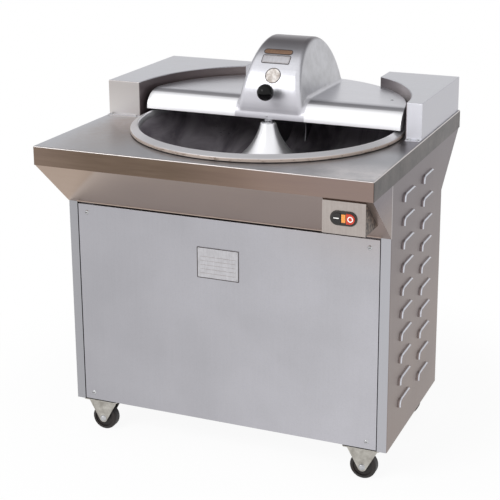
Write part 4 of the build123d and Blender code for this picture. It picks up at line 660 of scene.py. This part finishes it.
# world: white, and for reflections grey in the part above the rear
world = bpy.data.worlds.new("studio")
bpy.context.scene.world = world
world.use_nodes = True
add = maker(world.node_tree)
coord = add("ShaderNodeTexCoord")
sep = add("ShaderNodeSeparateXYZ", {0: coord.outputs["Generated"]})
flip = add("ShaderNodeMath", {0: sep.outputs[1], 1: -1.0}, operation="MULTIPLY")
turn = add("ShaderNodeMath", {0: sep.outputs[2], 1: flip.outputs[0]}, operation="ARCTAN2")
share = add("ShaderNodeMath", {0: turn.outputs[0], 1: math.pi}, operation="DIVIDE")
ramp = add("ShaderNodeValToRGB", {0: share.outputs[0]})
# place from the front (0) over the top (0.5) to the rear (1), and brightness
stops = [(0.0, 1.0), (0.11, 1.02), (0.44, 1.08), (0.52, 0.80),
         (0.58, 0.42), (0.80, 0.36), (0.87, 0.90), (1.0, 1.02)]
for k, (place, value) in enumerate(stops):
    stop = ramp.color_ramp.elements[k] if k < 2 else ramp.color_ramp.elements.new(place)
    stop.position = place
    stop.color = (value, value, value * 1.01, 1)
path = add("ShaderNodeLightPath")
plain = add("ShaderNodeMix", data_type="RGBA")
plain.inputs[6].default_value = (1, 1, 1, 1)
world.node_tree.links.new(path.outputs["Is Glossy Ray"], plain.inputs[0])
world.node_tree.links.new(ramp.outputs[0], plain.inputs[7])
level = add("ShaderNodeMapRange", {"To Min": 1.0, "To Max": 0.62, "Value": path.outputs["Is Diffuse Ray"]})
back = add("ShaderNodeBackground", {"Color": plain.outputs[2], "Strength": level.outputs["Result"]})
add("ShaderNodeOutputWorld", {"Surface": back.outputs[0]})


def area(name, place, target, size, power):
    """Soft white lamp that looks at the target."""
    data = bpy.data.lights.new(name, "AREA")
    data.shape = "RECTANGLE"
    data.size = size[0]
    data.size_y = size[1]
    data.energy = power
    lamp = bpy.data.objects.new(name, data)
    bpy.context.scene.collection.objects.link(lamp)
    lamp.location = place
    lamp.rotation_euler = (Vector(target) - Vector(place)).to_track_quat("-Z", "Y").to_euler()
    return lamp


key = area("key", (-1.3, -3.2, 2.9), (0.0, 0.0, 0.6), (2.2, 1.6), 95)
key.visible_glossy = False
fill = area("fill", (3.2, -0.6, 1.8), (0.0, 0.0, 0.5), (1.8, 1.8), 22)
fill.visible_glossy = False
area("spark", (-1.5, -2.4, 2.7), (0.0, 0.0, 0.85), (1.1, 1.1), 14)

# ---------------------------------------------------------------- camera
# fitted to the photograph: focal length and middle in pixels of a 500 x 500 frame
IMAGE = 500.0
FOCAL = 1280.3467
MIDDLE = (279.496, 165.517)
SENSOR = 36.0
forward = Vector((-0.35770317, 0.896262, -0.26222677))
right = Vector((0.928793154, 0.370598417, -0.00030117))
up = Vector((-0.0969109, 0.24366216, 0.96500623))
cam_data = bpy.data.cameras.new("camera")
cam_data.sensor_width = SENSOR
cam_data.lens = FOCAL / IMAGE * SENSOR
cam_data.shift_x = (IMAGE / 2 - MIDDLE[0]) / IMAGE
cam_data.shift_y = (MIDDLE[1] - IMAGE / 2) / IMAGE
cam = bpy.data.objects.new("camera", cam_data)
bpy.context.scene.collection.objects.link(cam)
m = Matrix((right, up, -forward)).transposed().to_4x4()
m.translation = Vector((1.14213509, -2.73006568, 1.46557038))
cam.matrix_world = m
bpy.context.scene.camera = cam
bpy.context.scene.view_settings.view_transform = "Standard"
